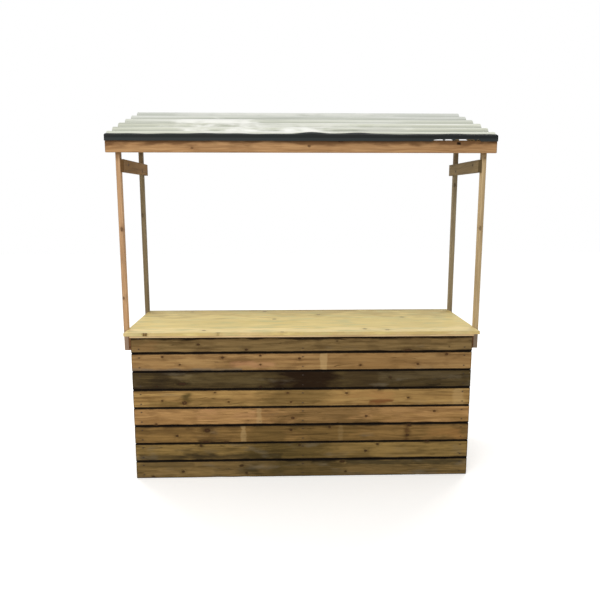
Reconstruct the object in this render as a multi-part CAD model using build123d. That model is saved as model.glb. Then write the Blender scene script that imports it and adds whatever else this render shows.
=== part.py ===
from build123d import *
from math import asin, cos, radians, sin, tan
import os

# A wooden market stall: a counter clad in reclaimed boards, four slim canopy posts and a
# corrugated roof that falls to the front. Millimetres, +Z up. The front faces -Y. While it
# is modelled, y = 0 is the face of the front cladding; export moves the plan's centre to 0.

# Cladding of the base
base_width = 2000.0
base_depth = 680.0
board_rows = 8
board_width = 105.0
board_gap = 6.0
board_thickness = 22.0

# Frame behind the cladding
leg_section = 45.0
frame_rail_height = 70.0
frame_rail_thickness = 45.0

# Counter
countertop_thickness = 18.0
countertop_front_overhang = 26.0
countertop_rear_overhang = 10.0
countertop_end_overhang = 5.0
nosing_height = 10.0
counter_rail_thickness = 28.0
notch_clearance = 0.5

# Canopy posts and rails
post_width = 25.0
post_depth = 38.0
post_setback = 70.0
side_rail_height = 72.0
side_rail_thickness = 20.0
side_rail_drop = 36.0
side_rail_tail = 14.0
fascia_underside = 1919.0
fascia_height = 65.0
fascia_thickness = 22.0
fascia_end_overhang = 49.5
header_height = 65.0
header_thickness = 22.0

# Roof
roof_pitch_deg = 15.5
fascia_drop = 5.0
rafter_width = 25.0
rafter_depth = 45.0
rafter_tail = 120.0
wave_pitch = 140.0
wave_depth = 34.0
sheet_thickness = 0.7
front_sheet_end_inset = 2.5
front_sheet_waves = 3
rear_sheet_end_inset = 5.0
rear_sheet_waves = 4
lap_waves = 1
eaves_overhang = 10.0
flashing_thickness = 2.5
flashing_lap_on_fascia = 3.0
flashing_seat_deg = 38.0

# Fits and edges
seat_clearance = 0.3
lap_clearance = 0.2
arris = 1.5

# Heights and places that follow from the sizes above
board_pitch = board_width + board_gap
frame_top = board_rows * board_pitch - board_gap
counter_height = frame_top + countertop_thickness
inner_x = base_width / 2 - board_thickness
post_inner_x = base_width / 2 + counter_rail_thickness
post_outer_x = post_inner_x + post_width
front_post_y = (post_setback, post_setback + post_depth)
rear_post_y = (base_depth - post_depth, base_depth)
post_foot = frame_top - board_width
side_rail_top = fascia_underside - side_rail_drop
countertop_rear = base_depth + countertop_rear_overhang
fascia_y = (post_setback - fascia_thickness, post_setback)
fascia_length = 2 * (post_outer_x + fascia_end_overhang)
front_sheet_length = fascia_length - 2 * front_sheet_end_inset
rear_sheet_length = front_sheet_length - 2 * rear_sheet_end_inset
eaves_height = fascia_underside + fascia_height + fascia_drop
slope = radians(roof_pitch_deg)
wave_radius = ((wave_pitch / 4) ** 2 + (wave_depth / 2) ** 2) / wave_depth
flank_angle = asin(wave_pitch / 4 / wave_radius)
lap_lift = (sheet_thickness + lap_clearance) / cos(flank_angle)
front_sheet_start = -eaves_overhang
rear_sheet_start = front_sheet_start + (front_sheet_waves - lap_waves) * wave_pitch
roof_end = rear_sheet_start + rear_sheet_waves * wave_pitch


def on_slope(along, above):
    """The (y, z) of a point measured along the roof slope and square to it.

    Both start over the fascia's front face, on the plane the sheets lie on.
    """
    return (
        fascia_y[0] + along * cos(slope) - above * sin(slope),
        eaves_height + along * sin(slope) + above * cos(slope),
    )


def slope_height(y, below=0.0):
    """The height of the sheets' bearing plane over y, or of a plane square below it."""
    return eaves_height + (y - fascia_y[0]) * tan(slope) - below / cos(slope)


plan_rear = on_slope(roof_end, seat_clearance + lap_lift)[0]
plan_centre = (plan_rear - countertop_front_overhang) / 2


def timber(x, y, z, run):
    """A sawn timber between three (low, high) pairs, its arrises eased along its run."""
    size = [high - low for low, high in (x, y, z)]
    centre = [(low + high) / 2 for low, high in (x, y, z)]
    solid = Pos(*centre) * Box(*size)
    return chamfer(solid.edges().filter_by(run), arris)


def side_profile(points, x):
    """A closed outline of (y, z) points, carried across from x[0] to x[1]."""
    outline = make_face(Polyline(*[(0, y, z) for y, z in points], close=True))
    return Pos(x[0], 0, 0) * extrude(outline, x[1] - x[0], dir=(1, 0, 0))


def mirrored(pair, side):
    """An (inner, outer) pair of x values as (low, high) on side -1 or +1."""
    return tuple(sorted(side * value for value in pair))


# Base frame
leg_inner_x = inner_x - leg_section
front_leg_y = (board_thickness, board_thickness + leg_section)
rear_leg_y = (base_depth - leg_section, base_depth)
rail_low = (0.0, frame_rail_height)
rail_high = (frame_top - frame_rail_height, frame_top)
front_rail_y = (board_thickness, board_thickness + frame_rail_thickness)
rear_rail_y = (base_depth - frame_rail_thickness, base_depth)
between_legs_x = (-leg_inner_x, leg_inner_x)
between_legs_y = (front_leg_y[1], rear_leg_y[0])
side_rail_x = (inner_x - frame_rail_thickness, inner_x)

parts = {}
for side, name in ((-1, "left"), (1, "right")):
    leg_x = mirrored((leg_inner_x, inner_x), side)
    parts[f"base_leg_front_{name}"] = timber(leg_x, front_leg_y, (0, frame_top), Axis.Z)
    parts[f"base_leg_rear_{name}"] = timber(leg_x, rear_leg_y, (0, frame_top), Axis.Z)
    rail_x = mirrored(side_rail_x, side)
    parts[f"base_rail_bottom_{name}"] = timber(rail_x, between_legs_y, rail_low, Axis.Y)
    parts[f"base_rail_top_{name}"] = timber(rail_x, between_legs_y, rail_high, Axis.Y)

parts["base_rail_bottom_front"] = timber(between_legs_x, front_rail_y, rail_low, Axis.X)
parts["base_rail_top_front"] = timber(between_legs_x, front_rail_y, rail_high, Axis.X)
parts["base_rail_bottom_rear"] = timber(between_legs_x, rear_rail_y, rail_low, Axis.X)
parts["base_rail_top_rear"] = timber(between_legs_x, rear_rail_y, rail_high, Axis.X)
middle_x = (-leg_section / 2, leg_section / 2)
parts["base_stud_front"] = timber(
    middle_x, front_leg_y, (rail_low[1], rail_high[0]), Axis.Z
)
parts["counter_bearer"] = timber(
    middle_x, (front_rail_y[1], rear_rail_y[0]), rail_high, Axis.Y
)

# Cladding: full boards across the front, shorter ones down each side behind them
for row in range(board_rows):
    z = (row * board_pitch, row * board_pitch + board_width)
    parts[f"front_board_{row + 1}"] = timber(
        (-base_width / 2, base_width / 2), (0, board_thickness), z, Axis.X
    )

for side, name in ((-1, "left"), (1, "right")):
    cladding_x = mirrored((inner_x, base_width / 2), side)
    boards = [
        timber(
            cladding_x,
            (board_thickness, base_depth),
            (row * board_pitch, row * board_pitch + board_width),
            Axis.Y,
        )
        for row in range(board_rows)
    ]
    parts[f"side_cladding_{name}"] = Compound(children=boards)

# Counter: a rail outside each side carries the posts, and the top is notched round them
countertop_end = post_inner_x + countertop_end_overhang
countertop = Box(
    2 * countertop_end,
    countertop_rear + countertop_front_overhang,
    countertop_thickness,
    align=(Align.CENTER, Align.MIN, Align.MIN),
)
countertop = Pos(0, -countertop_front_overhang, frame_top) * countertop
for side, name in ((-1, "left"), (1, "right")):
    rail_x = mirrored((base_width / 2, post_inner_x), side)
    parts[f"counter_rail_{name}"] = timber(
        rail_x, (front_post_y[0], base_depth), (post_foot, frame_top), Axis.Y
    )
    notch_x = mirrored((post_inner_x, countertop_end + 1), side)
    for y_low, y_high in (
        (front_post_y[0] - notch_clearance, front_post_y[1] + notch_clearance),
        (rear_post_y[0] - notch_clearance, countertop_rear + 1),
    ):
        notch = Box(notch_x[1] - notch_x[0], y_high - y_low, 2 * countertop_thickness)
        countertop -= Pos(sum(notch_x) / 2, (y_low + y_high) / 2, counter_height) * notch
parts["countertop"] = countertop
parts["counter_nosing"] = timber(
    (-base_width / 2, base_width / 2),
    (-countertop_front_overhang, 0),
    (frame_top - nosing_height, frame_top),
    Axis.X,
)

# Canopy: posts cut to the roof slope, a level rail on each side, fascia and header
for side, name in ((-1, "left"), (1, "right")):
    post_x = mirrored((post_inner_x, post_outer_x), side)
    for place, (near, far) in (("front", front_post_y), ("rear", rear_post_y)):
        outline = [
            (near, post_foot),
            (far, post_foot),
            (far, slope_height(far)),
            (near, slope_height(near)),
        ]
        parts[f"canopy_post_{place}_{name}"] = side_profile(outline, post_x)
    parts[f"canopy_side_rail_{name}"] = timber(
        mirrored((post_inner_x - side_rail_thickness, post_inner_x), side),
        (front_post_y[0], base_depth + side_rail_tail),
        (side_rail_top - side_rail_height, side_rail_top),
        Axis.Y,
    )


def bevelled_board(near, far, underside, below, length):
    """A board across the stall, its top edge bevelled to the roof slope."""
    outline = [
        (near, underside),
        (far, underside),
        (far, slope_height(far, below)),
        (near, slope_height(near, below)),
    ]
    return side_profile(outline, (-length / 2, length / 2))


fascia_below = fascia_drop * cos(slope)
parts["fascia"] = bevelled_board(*fascia_y, fascia_underside, fascia_below, fascia_length)
header_y = (base_depth, base_depth + header_thickness)
header_underside = slope_height(header_y[0], rafter_depth) - header_height
parts["rear_header"] = bevelled_board(
    *header_y, header_underside, rafter_depth, 2 * post_outer_x
)

# Rafters butt the fascia and run on over the header
rafter_places = {
    "left": mirrored((post_inner_x - rafter_width, post_inner_x), -1),
    "centre": (-rafter_width / 2, rafter_width / 2),
    "right": mirrored((post_inner_x - rafter_width, post_inner_x), 1),
}
rafter_end = base_depth + rafter_tail
for name, rafter_x in rafter_places.items():
    outline = [
        (fascia_y[1], slope_height(fascia_y[1])),
        (fascia_y[1], slope_height(fascia_y[1], rafter_depth)),
        (rafter_end, slope_height(rafter_end, rafter_depth)),
        (rafter_end, slope_height(rafter_end)),
    ]
    parts[f"rafter_{name}"] = side_profile(outline, rafter_x)


slope_plane = Plane(
    origin=(0, fascia_y[0], eaves_height),
    x_dir=(0, cos(slope), sin(slope)),
    z_dir=(1, 0, 0),
)


def wave_face(start, waves, middle, offset):
    """The arcs of one face of a corrugated sheet, at an offset from its mid-surface.

    Ridge arcs grow by the offset and valley arcs shrink by it, so they stay tangent where
    they meet on the flanks. The line starts and ends in the bottom of a valley.
    """
    floor = middle + offset
    reach = wave_pitch / 4 + offset * sin(flank_angle)
    rise = middle + wave_depth / 2 + offset * cos(flank_angle)
    valley_radius = wave_radius - offset
    quarter_run = valley_radius * sin(flank_angle / 2)
    quarter_rise = middle + wave_radius - valley_radius * cos(flank_angle / 2)
    ridges = [start + (wave + 0.5) * wave_pitch for wave in range(waves)]
    end = start + waves * wave_pitch
    arcs = [
        ThreePointArc(
            (start, floor), (start + quarter_run, quarter_rise), (ridges[0] - reach, rise)
        ),
        ThreePointArc(
            (ridges[-1] + reach, rise), (end - quarter_run, quarter_rise), (end, floor)
        ),
    ]
    for ridge in ridges:
        crown = (ridge, floor + wave_depth)
        arcs.append(ThreePointArc((ridge - reach, rise), crown, (ridge + reach, rise)))
    for ridge in ridges[:-1]:
        valley = (ridge + wave_pitch / 2, floor)
        next_rise = (ridge + wave_pitch - reach, rise)
        arcs.append(ThreePointArc((ridge + reach, rise), valley, next_rise))
    return arcs


def roof_sheet(start, waves, lift, length):
    """A corrugated sheet whose waves run across the stall, lifted off the rafters."""
    middle = seat_clearance + sheet_thickness / 2 + lift
    half = sheet_thickness / 2
    end = start + waves * wave_pitch
    outline = [
        *wave_face(start, waves, middle, -half),
        *wave_face(start, waves, middle, half),
        Line((start, middle - half), (start, middle + half)),
        Line((end, middle - half), (end, middle + half)),
    ]
    sheet = extrude(slope_plane * make_face(outline), length, dir=(1, 0, 0))
    return Pos(-length / 2, 0, 0) * sheet


parts["roof_sheet_front"] = roof_sheet(
    front_sheet_start, front_sheet_waves, 0, front_sheet_length
)
parts["roof_sheet_rear"] = roof_sheet(
    rear_sheet_start, rear_sheet_waves, lap_lift, rear_sheet_length
)

# Flashing: a skirt hangs in front of the sheet's edge from a flange whose tip bears on the
# front of the first ridge
skirt_rear = on_slope(front_sheet_start, 2 * seat_clearance + sheet_thickness)[0]
skirt_rear -= seat_clearance
skirt_front = skirt_rear - flashing_thickness
skirt_foot = eaves_height - fascia_drop - flashing_lap_on_fascia
first_ridge = front_sheet_start + wave_pitch / 2
tip_radius = wave_radius + sheet_thickness / 2 + seat_clearance
tip_angle = radians(flashing_seat_deg)
flange_tip = first_ridge - tip_radius * sin(tip_angle)
ridge_centre = seat_clearance + sheet_thickness / 2 + wave_depth - wave_radius
flange_under = ridge_centre + tip_radius * cos(tip_angle)
flange_top = flange_under + flashing_thickness


def skirt_corner(y, above):
    """Where a plumb face of the skirt at y meets the flange's face that far above."""
    along = (y - fascia_y[0] + above * sin(slope)) / cos(slope)
    return on_slope(along, above)


parts["eaves_flashing"] = side_profile(
    [
        (skirt_rear, skirt_foot),
        skirt_corner(skirt_rear, flange_under),
        on_slope(flange_tip, flange_under),
        on_slope(flange_tip, flange_top),
        skirt_corner(skirt_front, flange_top),
        (skirt_front, skirt_foot),
    ],
    (-fascia_length / 2, fascia_length / 2),
)

os.makedirs("parts", exist_ok=True)
for name, solid in parts.items():
    export_step(Pos(0, -plan_centre, 0) * solid, f"parts/{name}.step")
print(len(parts), "pieces; counter", counter_height, "high; roof plan centre", plan_centre)
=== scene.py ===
"""Dresses the wooden market stall: reclaimed boards, counter, canopy and corrugated roof."""

import logging
import math
from dataclasses import dataclass
from enum import Enum

import bpy
import numpy as np
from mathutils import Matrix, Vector


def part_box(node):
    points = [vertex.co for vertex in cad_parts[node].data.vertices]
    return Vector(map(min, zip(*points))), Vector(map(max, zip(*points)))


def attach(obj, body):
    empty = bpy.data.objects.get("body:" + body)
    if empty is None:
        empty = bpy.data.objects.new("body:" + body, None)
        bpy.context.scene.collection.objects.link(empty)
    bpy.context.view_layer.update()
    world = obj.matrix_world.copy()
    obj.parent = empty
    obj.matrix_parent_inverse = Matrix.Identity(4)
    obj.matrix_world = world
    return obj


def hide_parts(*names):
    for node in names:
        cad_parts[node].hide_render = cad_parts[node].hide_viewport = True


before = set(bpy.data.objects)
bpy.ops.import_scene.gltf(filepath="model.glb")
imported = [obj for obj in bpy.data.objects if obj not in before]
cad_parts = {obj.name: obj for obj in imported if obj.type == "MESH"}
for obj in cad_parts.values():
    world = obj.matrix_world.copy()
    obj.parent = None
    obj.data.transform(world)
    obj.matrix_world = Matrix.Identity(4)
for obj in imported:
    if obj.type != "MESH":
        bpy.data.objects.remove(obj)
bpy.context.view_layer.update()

log = logging.getLogger("market_stall")

PLAN_CENTRE = 0.410672  # from the front cladding's face back to the middle of the plan
SHARP_ANGLE = math.radians(34)  # edges steeper than this aren't smoothed
SAW_TEETH = 1400.0  # radians a metre, which makes a saw mark every 4.5 mm
Colour = tuple[float, float, float]
Array = np.ndarray


def srgb(red: float, green: float, blue: float) -> Colour:
    """A colour in linear light.

    Args:
        red: Its red as a screen value from 0 to 255.
        green: Its green.
        blue: Its blue.

    Returns:
        The colour.
    """
    level = np.array([red, green, blue]) / 255
    linear = np.where(level > 0.04045, ((level + 0.055) / 1.055) ** 2.4, level / 12.92)
    return tuple(float(value) for value in linear)


def scaled(colour: Colour, share: float) -> Colour:
    """A colour with each of its parts times a share."""
    return tuple(share * part for part in colour)


class Side(Enum):
    """The stall's sides, as the customers see them."""

    LEFT = -1
    RIGHT = 1

    @property
    def word(self) -> str:
        """The side's word in the names of the pieces."""
        return self.name.lower()


class Run(Enum):
    """Which axes are along the grain, across the face and through the timber."""

    ACROSS_FRONT = (0, 2, 1)
    DOWN_SIDE = (1, 2, 0)
    UPRIGHT = (2, 0, 1)
    FLAT = (0, 1, 2)


class Effect(Enum):
    """Node groups that several finishes share."""

    GRAIN = "Softwood grain"
    KNOT = "Knot"
    ARRIS = "Worn arris"
    BLOTCH = "Weather blotches"
    PATCH = "Tinted patch"
    NAIL_STAIN = "Iron stain round nails"


class Graph:
    """Adds nodes to one node tree and links them."""

    def __init__(self, tree: bpy.types.NodeTree) -> None:
        """Keeps the tree and counts the nodes, so that they are laid out in columns."""
        self.tree = tree
        self.count = 0

    def node(self, kind: str, **settings: object) -> bpy.types.Node:
        """Adds a node and gives it its settings.

        Args:
            kind: The node's type name.
            settings: Its properties by name.

        Returns:
            The new node.
        """
        node = self.tree.nodes.new(kind)
        node.location = (190 * (self.count // 8), -170 * (self.count % 8))
        self.count += 1
        for name, value in settings.items():
            setattr(node, name, value)
        return node

    def feed(self, socket: bpy.types.NodeSocket, value: object) -> None:
        """Links a socket to another, or sets its value.

        Args:
            socket: The input that is fed.
            value: Another node's output, or a number, colour or vector.
        """
        if isinstance(value, bpy.types.NodeSocket):
            self.tree.links.new(value, socket)
        elif socket.type == "RGBA":
            socket.default_value = (*value[:3], 1.0)
        else:
            socket.default_value = value

    def fed(self, kind: str, values: tuple[object, ...], **settings: object) -> bpy.types.Node:
        """Adds a node and feeds its inputs in their order.

        Args:
            kind: The node's type name.
            values: Numbers, colours, vectors or other nodes' outputs.
            settings: Its properties by name.

        Returns:
            The new node.
        """
        node = self.node(kind, **settings)
        for socket, value in zip(node.inputs, values):
            self.feed(socket, value)
        return node

    def maths(self, operation: str, *values: object, clamp: bool = False) -> bpy.types.NodeSocket:
        """The result of a Math node, kept from 0 to 1 if it is clamped."""
        return self.fed("ShaderNodeMath", values, operation=operation, use_clamp=clamp).outputs[0]

    def times(self, first: object, second: object) -> bpy.types.NodeSocket:
        """The product of two numbers or sockets."""
        return self.maths("MULTIPLY", first, second)

    def plus(self, first: object, second: object) -> bpy.types.NodeSocket:
        """The sum of two numbers or sockets."""
        return self.maths("ADD", first, second)

    def minus(self, first: object, second: object) -> bpy.types.NodeSocket:
        """The first number or socket less the second."""
        return self.maths("SUBTRACT", first, second)

    def linear(self, value: object, factor: object, offset: object) -> bpy.types.NodeSocket:
        """A value times a factor, plus an offset."""
        return self.maths("MULTIPLY_ADD", value, factor, offset)

    def bell(self, value: object, width: float) -> bpy.types.NodeSocket:
        """A bell: the exponential of minus the square of the value over a width."""
        share = self.maths("DIVIDE", value, width)
        return self.maths("EXPONENT", self.times(self.times(share, share), -1.0))

    def vectors(self, operation: str, *values: object) -> bpy.types.NodeSocket:
        """The result of a Vector Math node: a vector, or a number if it works out a length."""
        node = self.fed("ShaderNodeVectorMath", values, operation=operation)
        return node.outputs["Value" if operation == "LENGTH" else "Vector"]

    def parts(self, vector: object) -> tuple[bpy.types.NodeSocket, ...]:
        """The three parts of a vector."""
        return tuple(self.fed("ShaderNodeSeparateXYZ", (vector,)).outputs)

    def joined(self, *values: object) -> bpy.types.NodeSocket:
        """A vector out of three numbers or sockets."""
        return self.fed("ShaderNodeCombineXYZ", values).outputs[0]

    def noise(self, vector: object, scale: object, detail: float = 3.0) -> bpy.types.NodeSocket:
        """Plain noise from 0 to 1 with its middle near a half.

        Args:
            vector: The place.
            scale: How many features a metre.
            detail: How many finer layers.

        Returns:
            The noise.
        """
        node = self.node("ShaderNodeTexNoise", noise_dimensions="3D")
        self.feed(node.inputs["Vector"], vector)
        self.feed(node.inputs["Scale"], scale)
        node.inputs["Detail"].default_value = detail
        return node.outputs["Fac"]

    def step(self, value: object, low: object, high: object) -> bpy.types.NodeSocket:
        """A smooth step, turned over if its second end is the lower.

        Args:
            value: What runs through the step.
            low: Where the step is 0.
            high: Where it is 1.

        Returns:
            The step, from 0 to 1.
        """
        node = self.node("ShaderNodeMapRange", interpolation_type="SMOOTHSTEP", clamp=True)
        for name, given in zip(("Value", "From Min", "From Max"), (value, low, high)):
            self.feed(node.inputs[name], given)
        return node.outputs["Result"]

    def mix(self, share: object, first: object, second: object) -> bpy.types.NodeSocket:
        """Blends two colours.

        Args:
            share: How much of the second colour, from 0 to 1.
            first: The colour underneath.
            second: The colour laid over it.

        Returns:
            The blended colour.
        """
        node = self.node("ShaderNodeMix", data_type="RGBA", blend_type="MIX", clamp_factor=True)
        self.feed(node.inputs[0], share)
        self.feed(node.inputs[6], first)
        self.feed(node.inputs[7], second)
        return node.outputs[2]

    def cover(self, colour: object, tint: object, mask: object, strength: float) -> bpy.types.NodeSocket:
        """A colour with a tint laid over it where a mask is high, at most by a strength."""
        return self.mix(self.times(mask, strength), colour, tint)

    def bump(self, shader: bpy.types.Node, height: object, strength: float, distance: float) -> None:
        """Gives a shader its relief.

        Args:
            shader: The shader that takes the normal.
            height: The height, from 0 to about 1.
            strength: How strongly the normal is bent.
            distance: The real height of 1, in metres.
        """
        node = self.node("ShaderNodeBump")
        node.inputs["Strength"].default_value = strength
        node.inputs["Distance"].default_value = distance
        self.feed(node.inputs["Height"], height)
        self.feed(shader.inputs["Normal"], node.outputs[0])

    def use(self, effect: Effect, **values: object) -> dict[str, bpy.types.NodeSocket]:
        """Places a shared effect.

        Args:
            effect: Which shared node group.
            values: Its inputs by name, with an underscore for a space.

        Returns:
            Its outputs by name.
        """
        node = self.node("ShaderNodeGroup", node_tree=SharedEffects.tree(effect))
        for name, value in values.items():
            self.feed(node.inputs[name.replace("_", " ")], value)
        return {output.name: output for output in node.outputs}

    def blotch(
        self, place: object, size: float, cover: float, softness: float, seed: float
    ) -> bpy.types.NodeSocket:
        """Places the shared weather blotches.

        Args:
            place: The place.
            size: The blotches' size in metres.
            cover: About how much of the surface they take up.
            softness: How soft their edges are.
            seed: Which pattern is used.

        Returns:
            Their mask.
        """
        made = self.use(Effect.BLOTCH, Vector=place, Size=size, Cover=cover, Softness=softness, Seed=seed)
        return made["Mask"]


class SharedEffects:
    """Builds each shared node group the first time that a finish asks for it."""

    @classmethod
    def tree(cls, effect: Effect) -> bpy.types.NodeTree:
        """The node group of an effect."""
        made = bpy.data.node_groups.get(effect.value)
        return made or getattr(cls, f"_{effect.name.lower()}")()

    @staticmethod
    def _start(
        effect: Effect, floats: dict[str, float], vectors: tuple[str, ...], outputs: tuple[str, ...]
    ) -> tuple[Graph, dict[str, bpy.types.NodeSocket], bpy.types.Node]:
        """Makes an empty group with its sockets.

        Args:
            effect: Which effect the group is for.
            floats: Number inputs with their usual values.
            vectors: Vector inputs.
            outputs: Number outputs.

        Returns:
            The graph inside, its inputs by name, and its output node.
        """
        tree = bpy.data.node_groups.new(effect.value, "ShaderNodeTree")
        for word in vectors:
            tree.interface.new_socket(word, in_out="INPUT", socket_type="NodeSocketVector")
        for word, usual in floats.items():
            socket = tree.interface.new_socket(word, in_out="INPUT", socket_type="NodeSocketFloat")
            socket.default_value = usual
        for word in outputs:
            tree.interface.new_socket(word, in_out="OUTPUT", socket_type="NodeSocketFloat")
        graph = Graph(tree)
        inside = graph.node("NodeGroupInput")
        given = {socket.name: socket for socket in inside.outputs}
        return graph, given, graph.node("NodeGroupOutput")

    @staticmethod
    def _end(graph: Graph, out: bpy.types.Node, **values: object) -> bpy.types.NodeTree:
        """Links a group's outputs.

        Args:
            graph: The graph inside.
            out: Its output node.
            values: The outputs by name.

        Returns:
            The finished group.
        """
        for word, value in values.items():
            graph.feed(out.inputs[word], value)
        return graph.tree

    @classmethod
    def _grain(cls) -> bpy.types.NodeTree:
        """Growth rings and fibres of sawn softwood.

        Rings are the squared sine of the distance from a pith line that lies behind the face
        and wanders along the board, so that they open into long arches. Fibres and streaks are
        noise drawn out along the grain. Drying checks are the thin places where such a noise
        crosses its middle, kept only where a broader noise is high.

        Returns:
            The group.
        """
        g, given, out = cls._start(
            Effect.GRAIN,
            {"Ring Pitch": 0.007, "Pith Depth": 0.06, "Pith Offset": 0.0, "Seed": 0.0, "Bend": 0.0},
            ("Vector",),
            ("Rings", "Fibre", "Streak", "Check", "Height"),
        )
        along, across, through = g.parts(given["Vector"])
        bent = g.plus(across, given["Bend"])
        seed = g.times(given["Seed"], 7.31)
        slow = g.noise(g.joined(g.times(along, 1.4), across, seed), 1.0, 2.0)
        wander = g.linear(slow, 0.16, -0.08)
        ripple = g.noise(g.joined(g.times(along, 9.0), g.times(across, 40.0), seed), 1.0)
        ripple = g.linear(ripple, 0.006, -0.003)
        sideways = g.minus(g.plus(bent, g.plus(wander, ripple)), given["Pith Offset"])
        deep = g.minus(through, given["Pith Depth"])
        radius = g.vectors("LENGTH", g.joined(sideways, deep, 0.0))
        turns = g.maths("DIVIDE", g.times(radius, 2 * math.pi), given["Ring Pitch"])
        rings = g.maths("POWER", g.linear(g.maths("SINE", turns), 0.5, 0.5), 2.0)
        stretched = g.vectors("MULTIPLY", g.joined(along, bent, through), (9.0, 320.0, 320.0))
        fibre = g.noise(g.vectors("ADD", stretched, g.joined(seed, 0.0, seed)), 1.0, 8.0)
        streak = g.noise(g.joined(g.times(along, 3.2), g.times(bent, 62.0), seed), 1.0, 5.0)
        drawn = g.joined(g.times(along, 2.0), g.times(bent, 30.0), g.plus(seed, 5.0))
        crossing = g.maths("ABSOLUTE", g.minus(g.noise(drawn, 1.0, 2.0), 0.5))
        broad = g.noise(g.joined(g.times(along, 3.0), g.times(across, 14.0), seed), 1.0, 1.0)
        check = g.times(g.step(crossing, 0.011, 0.003), g.step(broad, 0.52, 0.62))
        height = g.minus(g.linear(rings, 0.35, g.times(fibre, 0.65)), check)
        return cls._end(g, out, Rings=rings, Fibre=fibre, Streak=streak, Check=check, Height=height)

    @classmethod
    def _knot(cls) -> bpy.types.NodeTree:
        """One knot: its core, ringed heart, dark rim and stained halo, and how it bends the grain.

        The distance is that of an ellipse with a rough outline. The halo falls off as the
        exponential of its square. The bend pulls the grain towards the knot's own line, so
        that the rings part and close again round it.

        Returns:
            The group.
        """
        g, given, out = cls._start(
            Effect.KNOT,
            {"Half Length": 0.012, "Half Width": 0.008},
            ("Vector", "Place"),
            ("Core", "Heart", "Rim", "Halo", "Bend"),
        )
        along, across, _ = g.parts(g.vectors("SUBTRACT", given["Vector"], given["Place"]))
        lengths = g.maths("DIVIDE", along, given["Half Length"])
        widths = g.maths("DIVIDE", across, given["Half Width"])
        rough = g.linear(g.noise(given["Vector"], 160.0, 2.0), 0.7, -0.35)
        distance = g.plus(g.vectors("LENGTH", g.joined(lengths, widths, 0.0)), rough)
        turns = g.linear(g.maths("SINE", g.times(distance, 21.0)), 0.3, 0.7)
        near = g.bell(distance, 2.3)
        return cls._end(
            g,
            out,
            Core=g.step(distance, 1.0, 0.72),
            Heart=g.times(g.step(distance, 0.85, 0.1), turns),
            Rim=g.bell(g.minus(distance, 1.0), 0.28),
            Halo=g.times(near, g.step(g.noise(given["Vector"], 60.0, 3.0), 0.3, 0.6)),
            Bend=g.times(g.times(across, near), -0.8),
        )

    @classmethod
    def _arris(cls) -> bpy.types.NodeTree:
        """A mask along a timber's long edges.

        Each axis gives how far a point is from that pair of faces, and the middle one of the
        three is small only where two faces meet.

        Returns:
            The group.
        """
        g, given, out = cls._start(
            Effect.ARRIS, {"Width": 0.004}, ("Vector", "Centre", "Half Size"), ("Mask",)
        )
        away = g.vectors("SUBTRACT", given["Vector"], given["Centre"])
        inward = g.vectors("SUBTRACT", given["Half Size"], g.vectors("ABSOLUTE", away))
        x, y, z = g.parts(inward)
        pairs = [g.maths("MAXIMUM", a, b) for a, b in ((x, y), (y, z), (x, z))]
        edge = g.maths("MINIMUM", g.maths("MINIMUM", pairs[0], pairs[1]), pairs[2])
        patchy = g.linear(g.noise(given["Vector"], 38.0, 4.0), 2.2, -0.35)
        reach = g.times(given["Width"], g.maths("MAXIMUM", patchy, 0.02))
        return cls._end(g, out, Mask=g.step(edge, reach, 0.0))

    @classmethod
    def _blotch(cls) -> bpy.types.NodeTree:
        """Soft weathered areas: noise drawn out along the grain and cut at a level.

        Returns:
            The group.
        """
        g, given, out = cls._start(
            Effect.BLOTCH,
            {"Size": 0.15, "Cover": 0.5, "Softness": 0.15, "Seed": 0.0},
            ("Vector",),
            ("Mask",),
        )
        stretched = g.vectors("MULTIPLY", given["Vector"], (0.35, 1.0, 1.0))
        shifted = g.vectors("ADD", stretched, g.joined(given["Seed"], given["Seed"], 0.0))
        noise = g.noise(shifted, g.maths("DIVIDE", 1.0, given["Size"]), 6.0)
        level = g.minus(1.0, given["Cover"])
        low, high = g.minus(level, given["Softness"]), g.plus(level, given["Softness"])
        return cls._end(g, out, Mask=g.step(noise, low, high))

    @classmethod
    def _patch(cls) -> bpy.types.NodeTree:
        """A soft rectangle at one place, its outline roughened by noise.

        Returns:
            The group.
        """
        g, given, out = cls._start(
            Effect.PATCH, {"Softness": 0.01}, ("Vector", "Place", "Half Size"), ("Mask",)
        )
        away = g.vectors("ABSOLUTE", g.vectors("SUBTRACT", given["Vector"], given["Place"]))
        over = g.vectors("SUBTRACT", away, given["Half Size"])
        along, across, _ = g.parts(over)
        fine = g.noise(g.vectors("MULTIPLY", given["Vector"], (14.0, 60.0, 30.0)), 1.0, 4.0)
        broad = g.noise(g.vectors("MULTIPLY", given["Vector"], (5.0, 16.0, 10.0)), 1.0, 1.0)
        rough = g.minus(g.linear(broad, 1.4, fine), 1.2)
        rough = g.times(rough, g.times(given["Softness"], 3.0))
        edge = g.plus(g.maths("MAXIMUM", along, across), rough)
        return cls._end(g, out, Mask=g.step(edge, given["Softness"], g.times(given["Softness"], -1.0)))

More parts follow.
